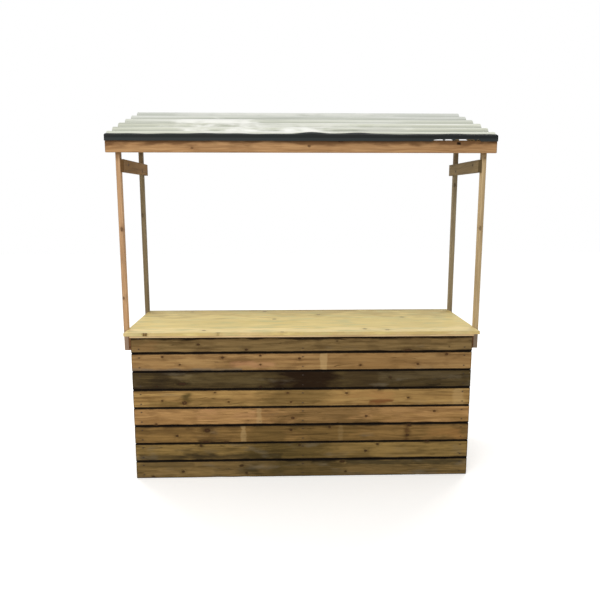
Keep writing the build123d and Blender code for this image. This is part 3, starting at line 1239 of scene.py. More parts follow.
@dataclass
class CorrugatedRoof:
    """Two lapped corrugated sheets and the black strip along their front edge."""

    pitch_deg: float = 15.5
    wave_pitch: float = 0.140
    wave_depth: float = 0.034
    thickness: float = 0.0007
    seat: float = 0.0003
    lap_lift: float = 0.001456
    eaves_height: float = 1.989
    eaves_y: float = 0.048 - PLAN_CENTRE
    eaves_overhang: float = 0.010
    front_waves: int = 3
    rear_waves: int = 4
    front_half_length: float = 1.100
    rear_half_length: float = 1.095
    steps_a_wave: int = 28
    steps_across: int = 120
    strip_thickness: float = 0.0025
    strip_foot: float = 1.981
    strip_seat_deg: float = 38.0
    strip_half_length: float = 1.1025
    strip_fold: float = 0.005
    rear_taper: float = 0.026
    edge_lift: float = 0.006
    edge_lifted: tuple[float, float] = (0.745, 0.995)
    foot_lift: float = 0.0106
    foot_lifted: tuple[float, float] = (0.735, 1.0)
    swells: tuple[tuple[float, float, float], ...] = ((0.008, 0.045, 0.08), (0.007, 0.33, 0.072))
    touches: tuple[tuple[float, float], ...] = ((0.795, 0.005), (0.850, 0.009), (0.975, 0.004))

    @property
    def slope(self) -> float:
        """The roof's slope in radians."""
        return math.radians(self.pitch_deg)

    @property
    def wave_radius(self) -> float:
        """The radius of the arcs that make a wave a quarter pitch wide and half its depth high."""
        return ((self.wave_pitch / 4) ** 2 + (self.wave_depth / 2) ** 2) / self.wave_depth

    def build(self) -> list[bpy.types.Object]:
        """Builds both sheets and the strip.

        Returns:
            The front sheet, the rear sheet and the strip.
        """
        zinc = GalvanisedFinish("galvanised_sheet").material(self)
        start = -self.eaves_overhang
        front = self._sheet("sheet_front", start, self.front_waves, 0.0, self.front_half_length, 0.0, zinc)
        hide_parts("roof_sheet_front")
        start += (self.front_waves - 1) * self.wave_pitch
        half, taper = self.rear_half_length, self.rear_taper
        rear = self._sheet("sheet_rear", start, self.rear_waves, self.lap_lift, half, taper, zinc)
        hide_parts("roof_sheet_rear")
        return [front, rear, self._strip()]

    def on_slope(self, along: Array | float, above: Array | float) -> tuple[Array | float, Array | float]:
        """Turns places along and square to the slope into y and z.

        Args:
            along: The distance up the slope from the eaves.
            above: The distance square to the slope.

        Returns:
            The y and the z.
        """
        y = self.eaves_y + along * math.cos(self.slope) - above * math.sin(self.slope)
        z = self.eaves_height + along * math.sin(self.slope) + above * math.cos(self.slope)
        return y, z

    def _sheet(
        self,
        name: str,
        start: float,
        waves: int,
        lift: float,
        half_length: float,
        taper: float,
        material: bpy.types.Material,
    ) -> bpy.types.Object:
        """Builds one corrugated sheet.

        Over a wave the height follows a valley arc, a ridge arc and a valley arc that touch
        where they meet. Both faces are that line moved half the thickness along its normal.
        The lower sheet's front edge stands a little higher near its right end.

        Args:
            name: The sheet's name.
            start: Where it starts along the slope.
            waves: How many waves it has.
            lift: How far it lies above the sheet below.
            half_length: Half its length across the stall.
            taper: How much shorter each half is at its upper edge.
            material: Its finish.

        Returns:
            The sheet.
        """
        run = np.linspace(0, waves * self.wave_pitch, waves * self.steps_a_wave + 1)
        phase = np.mod(run + self.wave_pitch / 4, self.wave_pitch) - self.wave_pitch / 4
        ridge = phase > self.wave_pitch / 4
        offset = np.where(ridge, phase - self.wave_pitch / 2, phase)
        drop = np.sqrt(self.wave_radius**2 - offset**2)
        height = np.where(ridge, self.wave_depth - self.wave_radius + drop, self.wave_radius - drop)
        tilt = np.where(ridge, -offset, offset) / drop
        normal = np.stack([-tilt, np.ones_like(tilt)]) / np.sqrt(1 + tilt**2)
        middle = self.seat + self.thickness / 2 + lift
        faces = []
        for face in (1, -1):
            along = start + run + normal[0] * face * self.thickness / 2
            above = middle + height + normal[1] * face * self.thickness / 2
            faces.append(self.on_slope(along, above))
        y = np.concatenate([faces[0][0], faces[1][0][::-1]])
        z = np.concatenate([faces[0][1], faces[1][1][::-1]])
        there = np.concatenate([run, run[::-1]])
        half = half_length - taper * (there / run[-1]) ** 1.5
        across = np.linspace(-1, 1, self.steps_across)
        grid = np.empty((self.steps_across, len(y), 3))
        grid[..., 0] = across[:, None] * half[None, :]
        grid[..., 1] = y[None, :]
        grid[..., 2] = z[None, :]
        if lift == 0:
            raised = self.edge_lift * plateau(grid[..., 0], *self.edge_lifted, 0.02)
            grid[..., 2] += raised * bell(there, 0.0, 0.03)[None, :]
        quads = tube_quads(self.steps_across, len(y))
        edge = np.arange(len(run) - 1)
        mates = len(y) - 1 - edge
        ends = []
        for base, turn in ((0, 1), ((self.steps_across - 1) * len(y), -1)):
            ends.append(base + np.stack([edge + 1, edge, mates, mates - 1], -1)[:, ::turn])
        return make_piece(name, grid.reshape(-1, 3), np.concatenate([quads, *ends]), material)

    def _strip(self) -> bpy.types.Object:
        """Builds the black strip.

        Its section hangs plumb in front of the sheets, folds over their edge and lies up the
        front of the first ridge. Along the stall the flange's edge swells, each swell with a
        height, an x and a width. The foot lifts off the fascia near the right end, apart from
        the places where it touches, each with an x and a width.

        Returns:
            The strip.
        """
        half, lift_top = self.strip_half_length, 2.0
        # the stations stand closer where the foot is lifted
        across = np.concatenate([np.linspace(-half, 0.70, 121), np.linspace(0.705, half, 106)])
        section, inner = self._strip_section()
        swell = sum(height * bell(across, x, width) for height, x, width in self.swells)
        swell += 0.0015 * np.sin(across * 9.0) + 0.0008 * np.sin(across * 31.0)
        touching = sum(bell(across, x, width) for x, width in self.touches)
        lift = self.foot_lift * plateau(across, *self.foot_lifted, 0.005) * (1 - 0.7 * touching)
        lift += 0.0005 * (1 + np.sin(across * 23.0))
        foot = np.clip((lift_top - section[:, 1]) / (lift_top - self.strip_foot), 0, 1)
        upward = inner[None, :] * swell[:, None]
        depth = section[None, :, 0] + upward * 0.35
        height = section[None, :, 1] + lift[:, None] * foot + upward
        grid = np.stack([np.broadcast_to(across[:, None], height.shape), depth, height], -1)
        quads, caps = tube_quads(*height.shape), tube_caps(*height.shape)
        black = RubberFinish("black_flashing").material()
        piece = make_piece("eaves_strip", grid.reshape(-1, 3), quads, black, caps)
        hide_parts("eaves_flashing")
        return piece

    def _strip_section(self) -> tuple[Array, Array]:
        """The strip's section as a closed ring, and how far each point takes part in a swell.

        Its outer line runs up the plumb skirt, round a soft fold and up the flange, and its
        inner line is the same line drawn in by the thickness. The fold is a parabola that
        leaves the skirt and meets the flange at the fold's reach from their corner.

        Returns:
            The ring of y and z, and the share of the swell at each of its points.
        """
        radius = self.wave_radius + self.thickness / 2 + self.seat
        seat = math.radians(self.strip_seat_deg)
        first_ridge = -self.eaves_overhang + self.wave_pitch / 2
        ridge_centre = self.seat + self.thickness / 2 + self.wave_depth - self.wave_radius
        top = ridge_centre + radius * math.cos(seat) + self.strip_thickness
        rear, _ = self.on_slope(-self.eaves_overhang, 2 * self.seat + self.thickness)
        front = rear - self.seat - self.strip_thickness
        shoulder = (front - self.eaves_y + top * math.sin(self.slope)) / math.cos(self.slope)
        corner = np.array(self.on_slope(shoulder, top))
        tip = np.array(self.on_slope(first_ridge - radius * math.sin(seat), top))
        lead = (tip - corner) / np.linalg.norm(tip - corner)
        below, beyond = corner - np.array([0.0, self.strip_fold]), corner + lead * self.strip_fold
        turn = np.linspace(0, 1, 7)[:, None]
        fold = (1 - turn) ** 2 * below + 2 * turn * (1 - turn) * corner + turn**2 * beyond
        up = np.linspace(0, 1, 8)[:-1, None]
        skirt = np.array([front, self.strip_foot]) * (1 - up) + below * up
        flange = beyond * (1 - up) + tip * up
        outer = np.concatenate([skirt, fold, flange[1:], tip[None]])
        tangent = np.gradient(outer, axis=0)
        tangent /= np.linalg.norm(tangent, axis=1)[:, None]
        inner = outer + np.stack([tangent[:, 1], -tangent[:, 0]], -1) * self.strip_thickness
        share = np.clip((np.arange(len(outer)) - len(skirt)) / (len(outer) - len(skirt) - 1), 0, 1)
        return np.concatenate([outer, inner[::-1]]), np.concatenate([share, share[::-1]])


def bell(along: Array, middle: Array | float, width: Array | float) -> Array:
    """A bell-shaped bump of height 1, as the exponential of the squared distance."""
    return np.exp(-(((along - middle) / width) ** 2))


def plateau(along: Array, low: float, high: float, soft: float) -> Array:
    """1 between two places and 0 outside, joined by halves of a hyperbolic tangent.

    Args:
        along: Where it is worked out.
        low: The first place.
        high: The second place.
        soft: How long the joins are.

    Returns:
        A value from 0 to 1 at each place.
    """
    rise = 0.5 + 0.5 * np.tanh(1.5 * (along - low) / soft)
    fall = 0.5 - 0.5 * np.tanh(1.5 * (along - high) / soft)
    return rise * fall


@dataclass
class CarriedTimbers:
    """The solids of the frame, the counter and the canopy that keep their shape."""

    def build(self) -> list[bpy.types.Object]:
        """Gives every carried-over node its finish.

        Returns:
            The dressed nodes.
        """
        made = []
        for node, finish, run in counter_finishes() + canopy_finishes() + base_frame_finishes():
            low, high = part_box(node)
            made.append(dress_node(node, finish.material(low, high, run)))
        return made


def dress_node(node: str, material: bpy.types.Material) -> bpy.types.Object:
    """Puts a material into a carried-over node's slots.

    Args:
        node: The node's name.
        material: Its finish.

    Returns:
        The node's object.
    """
    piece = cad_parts[node]
    if not piece.material_slots:
        piece.data.materials.append(material)
    for slot in piece.material_slots:
        slot.material = material
    return piece


NodeFinishes = list[tuple[str, TimberFinish, Run]]

# the boards' pale and late wood, their knots and their patches, by row from the lowest
# the lowest rows' tones are darker in part as painted shade, for light that falls off towards the floor
BOARD_TONES: dict[int, tuple[Colour, Colour]] = {
    8: (srgb(143, 118, 76), srgb(106, 82, 48)),
    7: (srgb(174, 139, 90), srgb(134, 96, 56)),
    6: (srgb(90, 74, 44), srgb(57, 44, 25)),
    5: (srgb(182, 147, 90), srgb(137, 102, 57)),
    4: (srgb(191, 149, 96), srgb(144, 105, 61)),
    3: (srgb(150, 117, 68), srgb(101, 75, 41)),
    2: (srgb(156, 127, 74), srgb(101, 81, 45)),
    1: (srgb(140, 114, 70), srgb(93, 75, 43)),
}

BOARD_KNOTS: dict[int, tuple[Knot, ...]] = {
    8: (
        Knot(-0.61, -0.004),
        Knot(-0.33, -0.037),
        Knot(0.62, -0.046, 0.05, 0.014),
        Knot(0.2, 0.01, 0.012, 0.01, 0.6),
    ),
    7: (
        Knot(-0.82, 0.034, 0.014, 0.012),
        Knot(-0.47, 0.027, 0.02, 0.013),
        Knot(-0.72, -0.013, 0.012, 0.009),
        Knot(-0.25, 0.039, 0.014, 0.01),
        Knot(-0.25, -0.017, 0.012, 0.009),
        Knot(-0.02, 0.019, 0.018, 0.012),
        Knot(0.34, -0.024, 0.014, 0.011),
        Knot(0.68, -0.020, 0.016, 0.012),
        Knot(0.85, 0.039, 0.018, 0.012),
    ),
    6: (
        Knot(-0.71, -0.019, 0.05, 0.016),
        Knot(-0.86, -0.033, 0.012, 0.01),
        Knot(-0.25, -0.042, 0.016, 0.012),
        Knot(0.52, 0.01, 0.02, 0.014, 0.7),
    ),
    5: (
        Knot(-0.70, -0.025, 0.034, 0.024),
        Knot(-0.83, -0.011, 0.014, 0.010),
        Knot(-0.44, -0.021, 0.014, 0.011),
        Knot(-0.52, 0.037, 0.012, 0.009),
        Knot(-0.09, 0.031, 0.016, 0.010),
        Knot(-0.07, -0.025, 0.014, 0.010),
        Knot(0.26, 0.027, 0.018, 0.012),
        Knot(0.63, -0.005, 0.016, 0.012),
    ),
    4: (
        Knot(-0.06, -0.014, 0.022, 0.015),
        Knot(-0.87, -0.044, 0.014, 0.010),
        Knot(0.38, -0.006, 0.018, 0.013),
        Knot(0.79, 0.021, 0.018, 0.012),
    ),
    3: (
        Knot(-0.57, 0.025, 0.040, 0.024),
        Knot(-0.75, -0.008, 0.016, 0.012),
        Knot(-0.58, -0.048, 0.04, 0.014),
        Knot(-0.46, -0.052, 0.03, 0.012),
        Knot(-0.07, 0.022, 0.016, 0.011),
        Knot(0.64, 0.045, 0.026, 0.016),
        Knot(0.63, -0.018, 0.02, 0.014),
        Knot(0.16, 0.038, 0.014, 0.01),
    ),
    2: (
        Knot(-0.61, 0.041, 0.02, 0.014),
        Knot(-0.02, 0.037, 0.016, 0.012),
        Knot(0.45, 0.038, 0.018, 0.012),
        Knot(0.38, -0.004, 0.018, 0.013),
        Knot(0.75, 0.050, 0.03, 0.012),
    ),
    1: (
        Knot(-0.37, 0.021, 0.022, 0.015),
        Knot(-0.34, -0.027, 0.014, 0.011),
        Knot(-0.90, -0.042, 0.016, 0.010),
        Knot(-0.72, -0.012, 0.018, 0.013),
        Knot(0.24, 0.040, 0.03, 0.014),
        Knot(0.26, -0.025, 0.014, 0.011),
    ),
}

PALE_MARK = srgb(196, 166, 116)
# painted shade: a darker olive across the middle of the lower front boards
CENTRE_SHADE = srgb(74, 60, 28)
# painted shadow along the seams between the boards
SEAM_SHADOW_TONE = srgb(22, 13, 6)
WHOLE = 0.5  # half width of a patch that takes in the whole face
# a painted shadow line along a board's lower edge, at its seam
LOWER_SEAM_SHADOW = Patch(0.0, -0.050, 1.5, 0.004, SEAM_SHADOW_TONE, 0.9, 0.003)

BOARD_PATCHES: dict[int, tuple[Patch, ...]] = {
    8: (
        # painted shadow: the board's upper part goes near-black under the counter's nosing
        Patch(0.0, 0.043, 1.5, 0.020, srgb(26, 15, 7), 0.95, 0.007),
        Patch(-0.92, -0.01, 0.05, 0.03, srgb(140, 102, 62), 0.3, 0.04),
        LOWER_SEAM_SHADOW,
    ),
    7: (
        Patch(-0.68, -0.046, 0.32, 0.006, srgb(104, 96, 84), 0.8, 0.008),
        Patch(0.122, 0.0, 0.020, WHOLE, PALE_MARK, 0.48, 0.005),
        Patch(-0.30, -0.012, 0.12, 0.008, srgb(186, 136, 100), 0.5, 0.024),
        Patch(-0.62, 0.012, 0.16, 0.006, srgb(192, 156, 102), 0.5, 0.02),
        Patch(-0.46, -0.03, 0.05, 0.01, srgb(96, 72, 40), 0.5, 0.02),
        Patch(0.45, 0.0, 0.25, WHOLE, srgb(132, 98, 54), 0.35, 0.08),
    ),
    6: (
        Patch(0.02, 0.0, 0.18, WHOLE, srgb(30, 15, 6), 0.92, 0.09),
        Patch(-0.84, 0.0, 0.05, WHOLE, srgb(46, 36, 22), 0.6, 0.04),
        Patch(-0.72, 0.02, 0.05, 0.01, srgb(118, 100, 66), 0.6, 0.02),
        Patch(-0.45, 0.01, 0.22, 0.018, srgb(106, 90, 58), 0.5, 0.03),
        Patch(0.34, -0.01, 0.10, WHOLE, srgb(60, 46, 28), 0.5, 0.04),
        Patch(0.70, 0.02, 0.24, 0.02, srgb(98, 84, 60), 0.5, 0.02),
        LOWER_SEAM_SHADOW,
    ),
    5: (
        Patch(-0.69, -0.005, 0.014, 0.034, srgb(62, 54, 24), 0.85, 0.026),
        Patch(-0.76, -0.028, 0.07, 0.006, srgb(96, 74, 36), 0.7, 0.022),
        Patch(-0.62, -0.03, 0.28, 0.014, srgb(112, 90, 48), 0.5, 0.03),
        Patch(-0.40, 0.02, 0.10, 0.012, srgb(198, 156, 96), 0.5, 0.03),
        # painted shade across the board's middle
        Patch(-0.06, 0.0, 0.20, WHOLE, CENTRE_SHADE, 0.5, 0.08),
        Patch(0.47, -0.026, 0.07, 0.008, srgb(92, 50, 22), 0.95, 0.014),
        Patch(0.40, 0.006, 0.13, 0.016, srgb(178, 128, 78), 0.4, 0.035),
        Patch(0.51, 0.050, 0.06, 0.006, srgb(30, 20, 10), 0.95, 0.008),
        Patch(0.93, 0.0, 0.03, WHOLE, PALE_MARK, 0.3, 0.012),
    ),
    4: (
        Patch(-0.26, 0.0, 0.014, WHOLE, PALE_MARK, 0.34, 0.006),
        Patch(-0.45, 0.02, 0.16, 0.010, srgb(200, 150, 106), 0.5, 0.03),
        Patch(-0.78, -0.03, 0.14, 0.010, srgb(126, 92, 50), 0.6, 0.03),
        # painted shade across the board's middle
        Patch(0.12, 0.0, 0.28, WHOLE, CENTRE_SHADE, 0.5, 0.09),
        Patch(0.70, -0.02, 0.28, 0.02, srgb(120, 92, 44), 0.4, 0.03),
        LOWER_SEAM_SHADOW,
    ),
    3: (
        Patch(0.0, 0.050, 1.5, 0.006, srgb(44, 34, 22), 0.8, 0.008),
        Patch(-0.355, 0.0, 0.015, WHOLE, PALE_MARK, 0.4, 0.006),
        Patch(0.228, 0.0, 0.015, WHOLE, PALE_MARK, 0.22, 0.008),
        # painted shade across the board's middle
        Patch(-0.20, 0.0, 0.12, WHOLE, CENTRE_SHADE, 0.5, 0.06),
        Patch(0.16, 0.0, 0.20, WHOLE, CENTRE_SHADE, 0.4, 0.07),
        Patch(-0.80, 0.03, 0.14, 0.012, srgb(84, 60, 32), 0.6, 0.03),
        Patch(-0.80, -0.02, 0.12, 0.012, srgb(156, 122, 70), 0.5, 0.03),
        Patch(-0.53, -0.044, 0.09, 0.006, srgb(44, 30, 16), 0.85, 0.014),
        Patch(0.625, 0.0, 0.012, WHOLE, srgb(72, 46, 24), 0.75, 0.022),
        Patch(0.84, -0.01, 0.10, 0.02, srgb(166, 120, 68), 0.45, 0.035),
    ),
    2: (
        Patch(-0.55, -0.034, 0.42, 0.016, srgb(66, 54, 34), 0.8, 0.014),
        Patch(-0.62, -0.02, 0.10, 0.010, srgb(44, 36, 22), 0.7, 0.03),
        # painted shade across the board's middle
        Patch(-0.10, 0.0, 0.24, WHOLE, srgb(58, 48, 20), 0.6, 0.08),
        Patch(0.66, 0.0, 0.20, 0.02, srgb(166, 136, 80), 0.4, 0.04),
        Patch(0.20, -0.03, 0.2, 0.02, srgb(80, 64, 34), 0.5, 0.02),
        LOWER_SEAM_SHADOW,
    ),
    1: (
        Patch(-0.32, 0.01, 0.04, 0.03, srgb(52, 44, 28), 0.6, 0.04),
        Patch(-0.12, 0.02, 0.05, 0.03, srgb(50, 44, 24), 0.5, 0.05),
        # painted shade across the board's middle
        Patch(0.0, 0.0, 0.26, WHOLE, srgb(60, 50, 22), 0.5, 0.09),
        Patch(-0.70, -0.01, 0.16, 0.016, srgb(156, 128, 80), 0.5, 0.03),
        Patch(0.16, 0.046, 0.10, 0.006, srgb(28, 24, 14), 0.8, 0.016),
        # painted shadow along the seam at the board's upper edge
        Patch(0.36, 0.052, 0.52, 0.006, SEAM_SHADOW_TONE, 0.95, 0.004),
        Patch(0.62, 0.034, 0.36, 0.016, srgb(58, 52, 34), 0.75, 0.014),
        Patch(-0.82, 0.036, 0.16, 0.016, srgb(84, 68, 42), 0.5, 0.014),
    ),
}

# what the boards of the front and the sides have in common
RECLAIMED = dict(
    grey_strength=0.55,
    edge=srgb(32, 23, 14),
    edge_width=0.008,
    edge_strength=0.85,
    seam_shade=0.94,
    check_strength=0.6,
    streak_strength=0.7,
    drift_strength=0.5,
    smudge_strength=0.38,
    halo_strength=0.75,
    relief=0.0009,
    saw_marks=0.06,
)


def front_board_finish(row: int, nails: tuple[float, float, float]) -> TimberFinish:
    """The finish of one front board.

    Args:
        row: The board's number from the lowest.
        nails: The nails' spacing along and across the board, and whether it has middle ones.

    Returns:
        The finish.
    """
    pale, late = BOARD_TONES[row]
    return TimberFinish(
        f"reclaimed_board_{row}",
        pale,
        late,
        grey_cover=0.34 if row in (1, 2, 6) else 0.27,
        ring_pitch=0.006 + 0.001 * (row % 3),
        knots=BOARD_KNOTS[row],
        marked_face=True,
        patches=BOARD_PATCHES[row],
        nails=nails,
        seed=row + 1,
        **RECLAIMED,
    )


def side_board_finish(side: Side, row: int, nails: tuple[float, float, float]) -> TimberFinish:
    """The finish of one side board: the front's tones in another order, with seeded knots.

    Args:
        side: Which side.
        row: The board's number from the lowest.
        nails: The nails' spacing along and across the board, and whether it has middle ones.

    Returns:
        The finish.
    """
    random = np.random.default_rng(300 + 10 * row + side.value)
    order = (1, 3, 2, 5, 4, 7, 6, 8) if side is Side.LEFT else (2, 1, 4, 3, 6, 5, 7, 8)
    pale, late = BOARD_TONES[order[row - 1]]
    knots = tuple(
        Knot(float(random.uniform(-0.3, 0.3)), float(random.uniform(-0.04, 0.04)), size, size * 0.7)
        for size in random.uniform(0.010, 0.026, 4)
    )
    return TimberFinish(
        f"reclaimed_board_{side.word}_{row}",
        pale,
        late,
        grey_cover=0.32,
        knots=knots,
        nails=nails,
        seed=20 + row + 10 * (side is Side.RIGHT),
        **RECLAIMED,
    )


def counter_finishes() -> NodeFinishes:
    """The counter's top, nosing and end rails.

    Returns:
        Each node with its finish and the way that its grain runs.
    """
    top = TimberFinish(
        "counter_panel",
        pale=srgb(238, 218, 150),
        late=srgb(208, 181, 112),
        grey=srgb(190, 184, 132),
        grey_cover=0.42,
        grey_strength=0.6,
        knot=srgb(92, 62, 30),
        streak_strength=0.3,
        drift_strength=0.3,
        smudge_strength=0.10,
        edge=srgb(150, 120, 78),
        edge_width=0.0035,
        edge_strength=0.5,
        end_tone=0.8,
        ring_pitch=0.011,
        ring_strength=0.35,
        roughness=0.5,
        relief=0.0003,
        knots=(
            Knot(-0.91, -0.355, 0.030, 0.014),
            Knot(-0.49, -0.352, 0.022, 0.012),
            Knot(-0.58, -0.292, 0.022, 0.018),
            Knot(-0.12, -0.342, 0.022, 0.016),
            Knot(-0.24, 0.298, 0.028, 0.026),
            Knot(-0.17, 0.038, 0.026, 0.024, 0.9),
            Knot(-0.73, 0.298, 0.022, 0.024, 0.9),
            Knot(0.37, -0.272, 0.024, 0.020),
            Knot(0.50, -0.302, 0.024, 0.018),
            Knot(0.12, 0.180, 0.026, 0.026, 0.8),
            Knot(0.66, 0.080, 0.026, 0.026, 0.8),
        ),
        patches=(
            Patch(0.0, -0.3583, 1.2, 0.0006, srgb(188, 158, 102), 0.85, 0.001),
            # painted light: a paler band behind the front edge, where the roof leaves the top unshaded
            Patch(0.0, -0.29, 1.2, 0.05, srgb(244, 222, 168), 0.55, 0.04),
            Patch(-0.30, -0.06, 0.30, 0.03, srgb(206, 184, 112), 0.5, 0.08),
            Patch(0.45, 0.02, 0.34, 0.03, srgb(214, 196, 128), 0.5, 0.08),
            # painted shade: the rear of the top darker where the roof shades it, darkest along the rear
            # edge
            Patch(0.0, 0.28, 1.5, 0.12, srgb(160, 136, 84), 0.62, 0.12),
            Patch(0.0, 0.345, 1.5, 0.024, srgb(116, 106, 70), 0.7, 0.012),
        ),
        seed=3,
    )
    nosing = TimberFinish(
        "counter_nosing",
        pale=srgb(226, 198, 150),
        late=srgb(196, 160, 112),
        grey_cover=0.2,
        edge_width=0.002,
        edge_strength=0.35,
        ring_strength=0.4,
        relief=0.0004,
        seed=5,
    )
    made = [("countertop", top, Run.FLAT), ("counter_nosing", nosing, Run.FLAT)]
    for side in Side:
        rail = TimberFinish(
            f"counter_rail_{side.word}",
            pale=srgb(176, 130, 86),
            late=srgb(132, 90, 58),
            grey_cover=0.3,
            end_tone=0.85,
            knots=(Knot(-0.296, -0.035, 0.02, 0.014), Knot(0.1, 0.02)),
            seed=31 + side.value,
        )
        made.append((f"counter_rail_{side.word}", rail, Run.DOWN_SIDE))
    return made


def canopy_finishes() -> NodeFinishes:
    """The posts, side rails, fascia, header and rafters.

    Returns:
        Each node with its finish and the way that its grain runs.
    """
    mauve = srgb(142, 126, 116)
    counter_top, head = 0.9, 1.93
    tones = {
        "front_left": (srgb(210, 171, 130), srgb(166, 122, 84)),
        "rear_left": (srgb(150, 133, 102), srgb(110, 92, 66)),
        "front_right": (srgb(205, 180, 138), srgb(160, 132, 94)),
        "rear_right": (srgb(164, 148, 118), srgb(120, 104, 78)),
    }
    made = []
    for number, (place, (pale, late)) in enumerate(tones.items()):
        low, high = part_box(f"canopy_post_{place}")
        middle, half = (low.z + high.z) / 2, (high.z - low.z) / 2
        foot_patch = Patch(-half, 0.0, counter_top - low.z, 0.2, mauve, 0.7, 0.01)
        # painted shadow: each post darker just below its head, under the canopy
        head_shadow_patch = Patch(head - middle, 0.0, 0.045, WHOLE, srgb(104, 78, 50), 0.6, 0.02)
        knots = (
            Knot(1.49 - middle, 0.004, 0.026, 0.014, 0.8),
            Knot(1.09 - middle, -0.004, 0.018, 0.010, 0.8),
        )
        if place != "front_left":
            knots = tuple(Knot(-k.along + 0.1 * number, -k.across, k.length, k.width, 0.6) for k in knots)
        finish = TimberFinish(
            f"canopy_post_{place}",
            pale=pale,
            late=late,
            grey_cover=0.26,
            grey_strength=0.45,
            edge_width=0.003,
            edge_strength=0.4,
            ring_pitch=0.006,
            relief=0.0005,
            knots=knots,
            patches=(foot_patch, head_shadow_patch),
            seed=50 + number,
        )
        made.append((f"canopy_post_{place}", finish, Run.UPRIGHT))
    fascia = TimberFinish(
        "fascia_board",
        pale=srgb(192, 151, 106),
        late=srgb(150, 107, 68),
        grey_cover=0.22,
        grey_strength=0.3,
        edge_width=0.004,
        edge_strength=0.45,
        relief=0.0006,
        saw_marks=0.05,
        knots=(
            Knot(0.036, 0.0, 0.018, 0.012, 0.8),
            Knot(0.213, 0.026, 0.03, 0.010, 0.9),
            Knot(-0.62, -0.012, 0.016, 0.010, 0.6),
        ),
        marked_face=True,
        smudge_strength=0.2,
        patches=(
            # painted shadow: the fascia's upper half darker under the black strip
            Patch(0.0, 0.024, 1.5, 0.016, srgb(88, 58, 34), 0.8, 0.014),
            Patch(0.884, 0.017, 0.009, 0.006, srgb(12, 6, 3), 1.0, 0.005),
        ),
        seed=61,
    )
    made.append(("fascia", fascia, Run.ACROSS_FRONT))
    batten = dict(grey_cover=0.3, edge_width=0.003, edge_strength=0.4, relief=0.0006, saw_marks=0.04)
    plain = (Knot(-0.2, 0.01), Knot(0.15, -0.012))
    brown = (srgb(150, 116, 72), srgb(108, 78, 46))
    olive = (srgb(148, 127, 92), srgb(106, 88, 58))
    for side, (pale, late) in zip(Side, (brown, olive)):
        rail = TimberFinish(
            f"side_rail_{side.word}", pale, late, knots=plain, seed=71 + side.value, **batten
        )
        made.append((f"canopy_side_rail_{side.word}", rail, Run.DOWN_SIDE))
        rafter = TimberFinish(f"rafter_{side.word}", *olive, knots=plain, seed=75 + side.value, **batten)
        made.append((f"rafter_{side.word}", rafter, Run.DOWN_SIDE))
    header = TimberFinish("rear_header", *brown, knots=plain, seed=65, **batten)
    middle_rafter = TimberFinish("rafter_centre", *brown, knots=plain, seed=66, **batten)
    made.append(("rear_header", header, Run.ACROSS_FRONT))
    made.append(("rafter_centre", middle_rafter, Run.DOWN_SIDE))
    return made


def base_frame_finishes() -> NodeFinishes:
    """The legs, rails, stud and bearer behind the cladding.

    Returns:
        Each node with its finish and the way that its grain runs.
    """
    pale, late = srgb(188, 160, 116), srgb(144, 116, 78)
    nodes = [(f"base_leg_{end}_{side.word}", Run.UPRIGHT) for end in ("front", "rear") for side in Side]
    nodes.append(("base_stud_front", Run.UPRIGHT))
    for level in ("bottom", "top"):
        nodes += [(f"base_rail_{level}_{end}", Run.ACROSS_FRONT) for end in ("front", "rear")]
        nodes += [(f"base_rail_{level}_{side.word}", Run.DOWN_SIDE) for side in Side]
    nodes.append(("counter_bearer", Run.DOWN_SIDE))
    return [
        (
            node,
            TimberFinish(
                f"frame_{node}",
                pale,
                late,
                edge_width=0.003,
                edge_strength=0.35,
                saw_marks=0.05,
                knots=(Knot(-0.21, 0.008), Knot(0.27, -0.006, 0.014, 0.01)),
                seed=90 + number,
            ),
            run,
        )
        for number, (node, run) in enumerate(nodes)
    ]


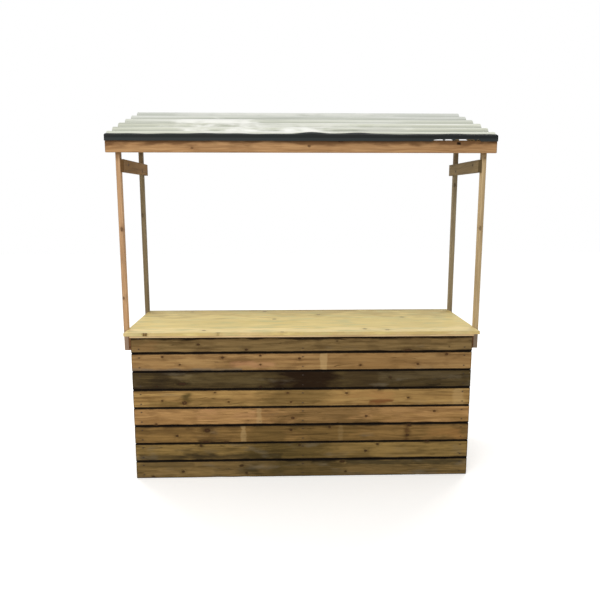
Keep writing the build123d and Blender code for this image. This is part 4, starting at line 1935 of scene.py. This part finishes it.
@dataclass
class Studio:
    """The camera at the photograph's place, soft lights, a white surround and the floor."""

    camera_place: tuple[float, float, float] = (-0.1205, -3.8959, 1.6754)
    pitch_deg: float = 9.60
    yaw_deg: float = 1.70
    lens: float = 36.73
    sensor: float = 36.0
    surround: float = 0.62
    floor_half: float = 14.0
    floor_drop: float = 0.0005
    floor_tone: Colour = (0.86, 0.86, 0.85)
    lamp_tone: Colour = (1.0, 0.97, 0.92)
    aim_height: float = 1.0

    def build(self) -> None:
        """Sets up the camera, the surround, the floor and the lamps."""
        self._camera()
        self._world()
        self._floor()
        self._lamps()
        bpy.context.scene.view_settings.view_transform = "Standard"

    def _camera(self) -> None:
        """Makes the camera at the photograph's viewing angle."""
        camera = bpy.data.objects.new("camera", bpy.data.cameras.new("camera"))
        camera.data.lens, camera.data.sensor_width = self.lens, self.sensor
        camera.location = self.camera_place
        camera.rotation_euler = (math.radians(90 - self.pitch_deg), 0.0, -math.radians(self.yaw_deg))
        bpy.context.scene.collection.objects.link(camera)
        bpy.context.scene.camera = camera

    def _world(self) -> None:
        """An even surround that the camera and the metal see as white."""
        world = bpy.data.worlds.new("surround")
        world.use_nodes = True
        bpy.context.scene.world = world
        g = Graph(world.node_tree)
        backdrop = world.node_tree.nodes["Background"]
        rays = g.node("ShaderNodeLightPath").outputs
        seen = g.maths("MAXIMUM", rays["Is Camera Ray"], rays["Is Transmission Ray"])
        seen = g.maths("MAXIMUM", seen, rays["Is Glossy Ray"])
        backdrop.inputs["Color"].default_value = (1.0, 1.0, 1.0, 1.0)
        strength = g.linear(seen, 1.0 - self.surround, self.surround)
        g.feed(backdrop.inputs["Strength"], strength)

    def _floor(self) -> None:
        """A wide pale floor that looks white to the camera but keeps the stall's shadow."""
        reach, level = self.floor_half, -self.floor_drop
        corners = [(-reach, -reach), (reach, -reach), (reach, reach), (-reach, reach)]
        mesh = bpy.data.meshes.new("floor")
        mesh.from_pydata([(x, y, level) for x, y in corners], [], [(0, 1, 2, 3)])
        material, g, shader, position = new_material("pale_floor")
        shader.inputs["Base Color"].default_value = (*self.floor_tone, 1.0)
        shader.inputs["Roughness"].default_value = 0.9
        shader.inputs["Emission Color"].default_value = (1.0, 1.0, 1.0, 1.0)
        away = g.vectors("LENGTH", position)
        glow = g.linear(g.step(away, 1.2, 5.0), 0.14, 0.38)
        rays = g.node("ShaderNodeLightPath").outputs
        g.feed(shader.inputs["Emission Strength"], g.times(rays["Is Camera Ray"], glow))
        mesh.materials.append(material)
        floor = bpy.data.objects.new("floor", mesh)
        bpy.context.scene.collection.objects.link(floor)

    def _lamps(self) -> None:
        """A wide soft lamp in front and two from behind the corners, all above the stall."""
        self._lamp("front_lamp", (-1.6, -4.2, 3.6), 2.6, 95.0)
        self._lamp("left_lamp", (-3.0, 2.6, 3.0), 1.4, 60.0)
        self._lamp("right_lamp", (3.0, 2.6, 3.0), 1.4, 50.0)

    def _lamp(self, name: str, place: tuple[float, float, float], size: float, power: float) -> None:
        """Makes one square lamp turned towards the counter.

        Args:
            name: The lamp's name.
            place: Where it hangs.
            size: Its width in metres.
            power: Its power in watts.
        """
        light = bpy.data.lights.new(name, "AREA")
        light.shape, light.size, light.energy = "SQUARE", size, power
        light.color = self.lamp_tone
        lamp = bpy.data.objects.new(name, light)
        lamp.location = place
        lamp.visible_camera = False
        aim = Vector((0.0, 0.0, self.aim_height)) - Vector(place)
        lamp.rotation_mode = "QUATERNION"
        lamp.rotation_quaternion = aim.to_track_quat("-Z", "Y")
        bpy.context.scene.collection.objects.link(lamp)


def main() -> None:
    """Builds the studio and every part of the stall, and reports each piece."""
    logging.basicConfig(level=logging.INFO, format="%(message)s")
    Studio().build()
    for part in (Cladding(), CorrugatedRoof(), CarriedTimbers()):
        for piece in part.build():
            log.info("%s: %s, %d faces", type(part).__name__, piece.name, len(piece.data.polygons))


if __name__ == "__main__":
    main()
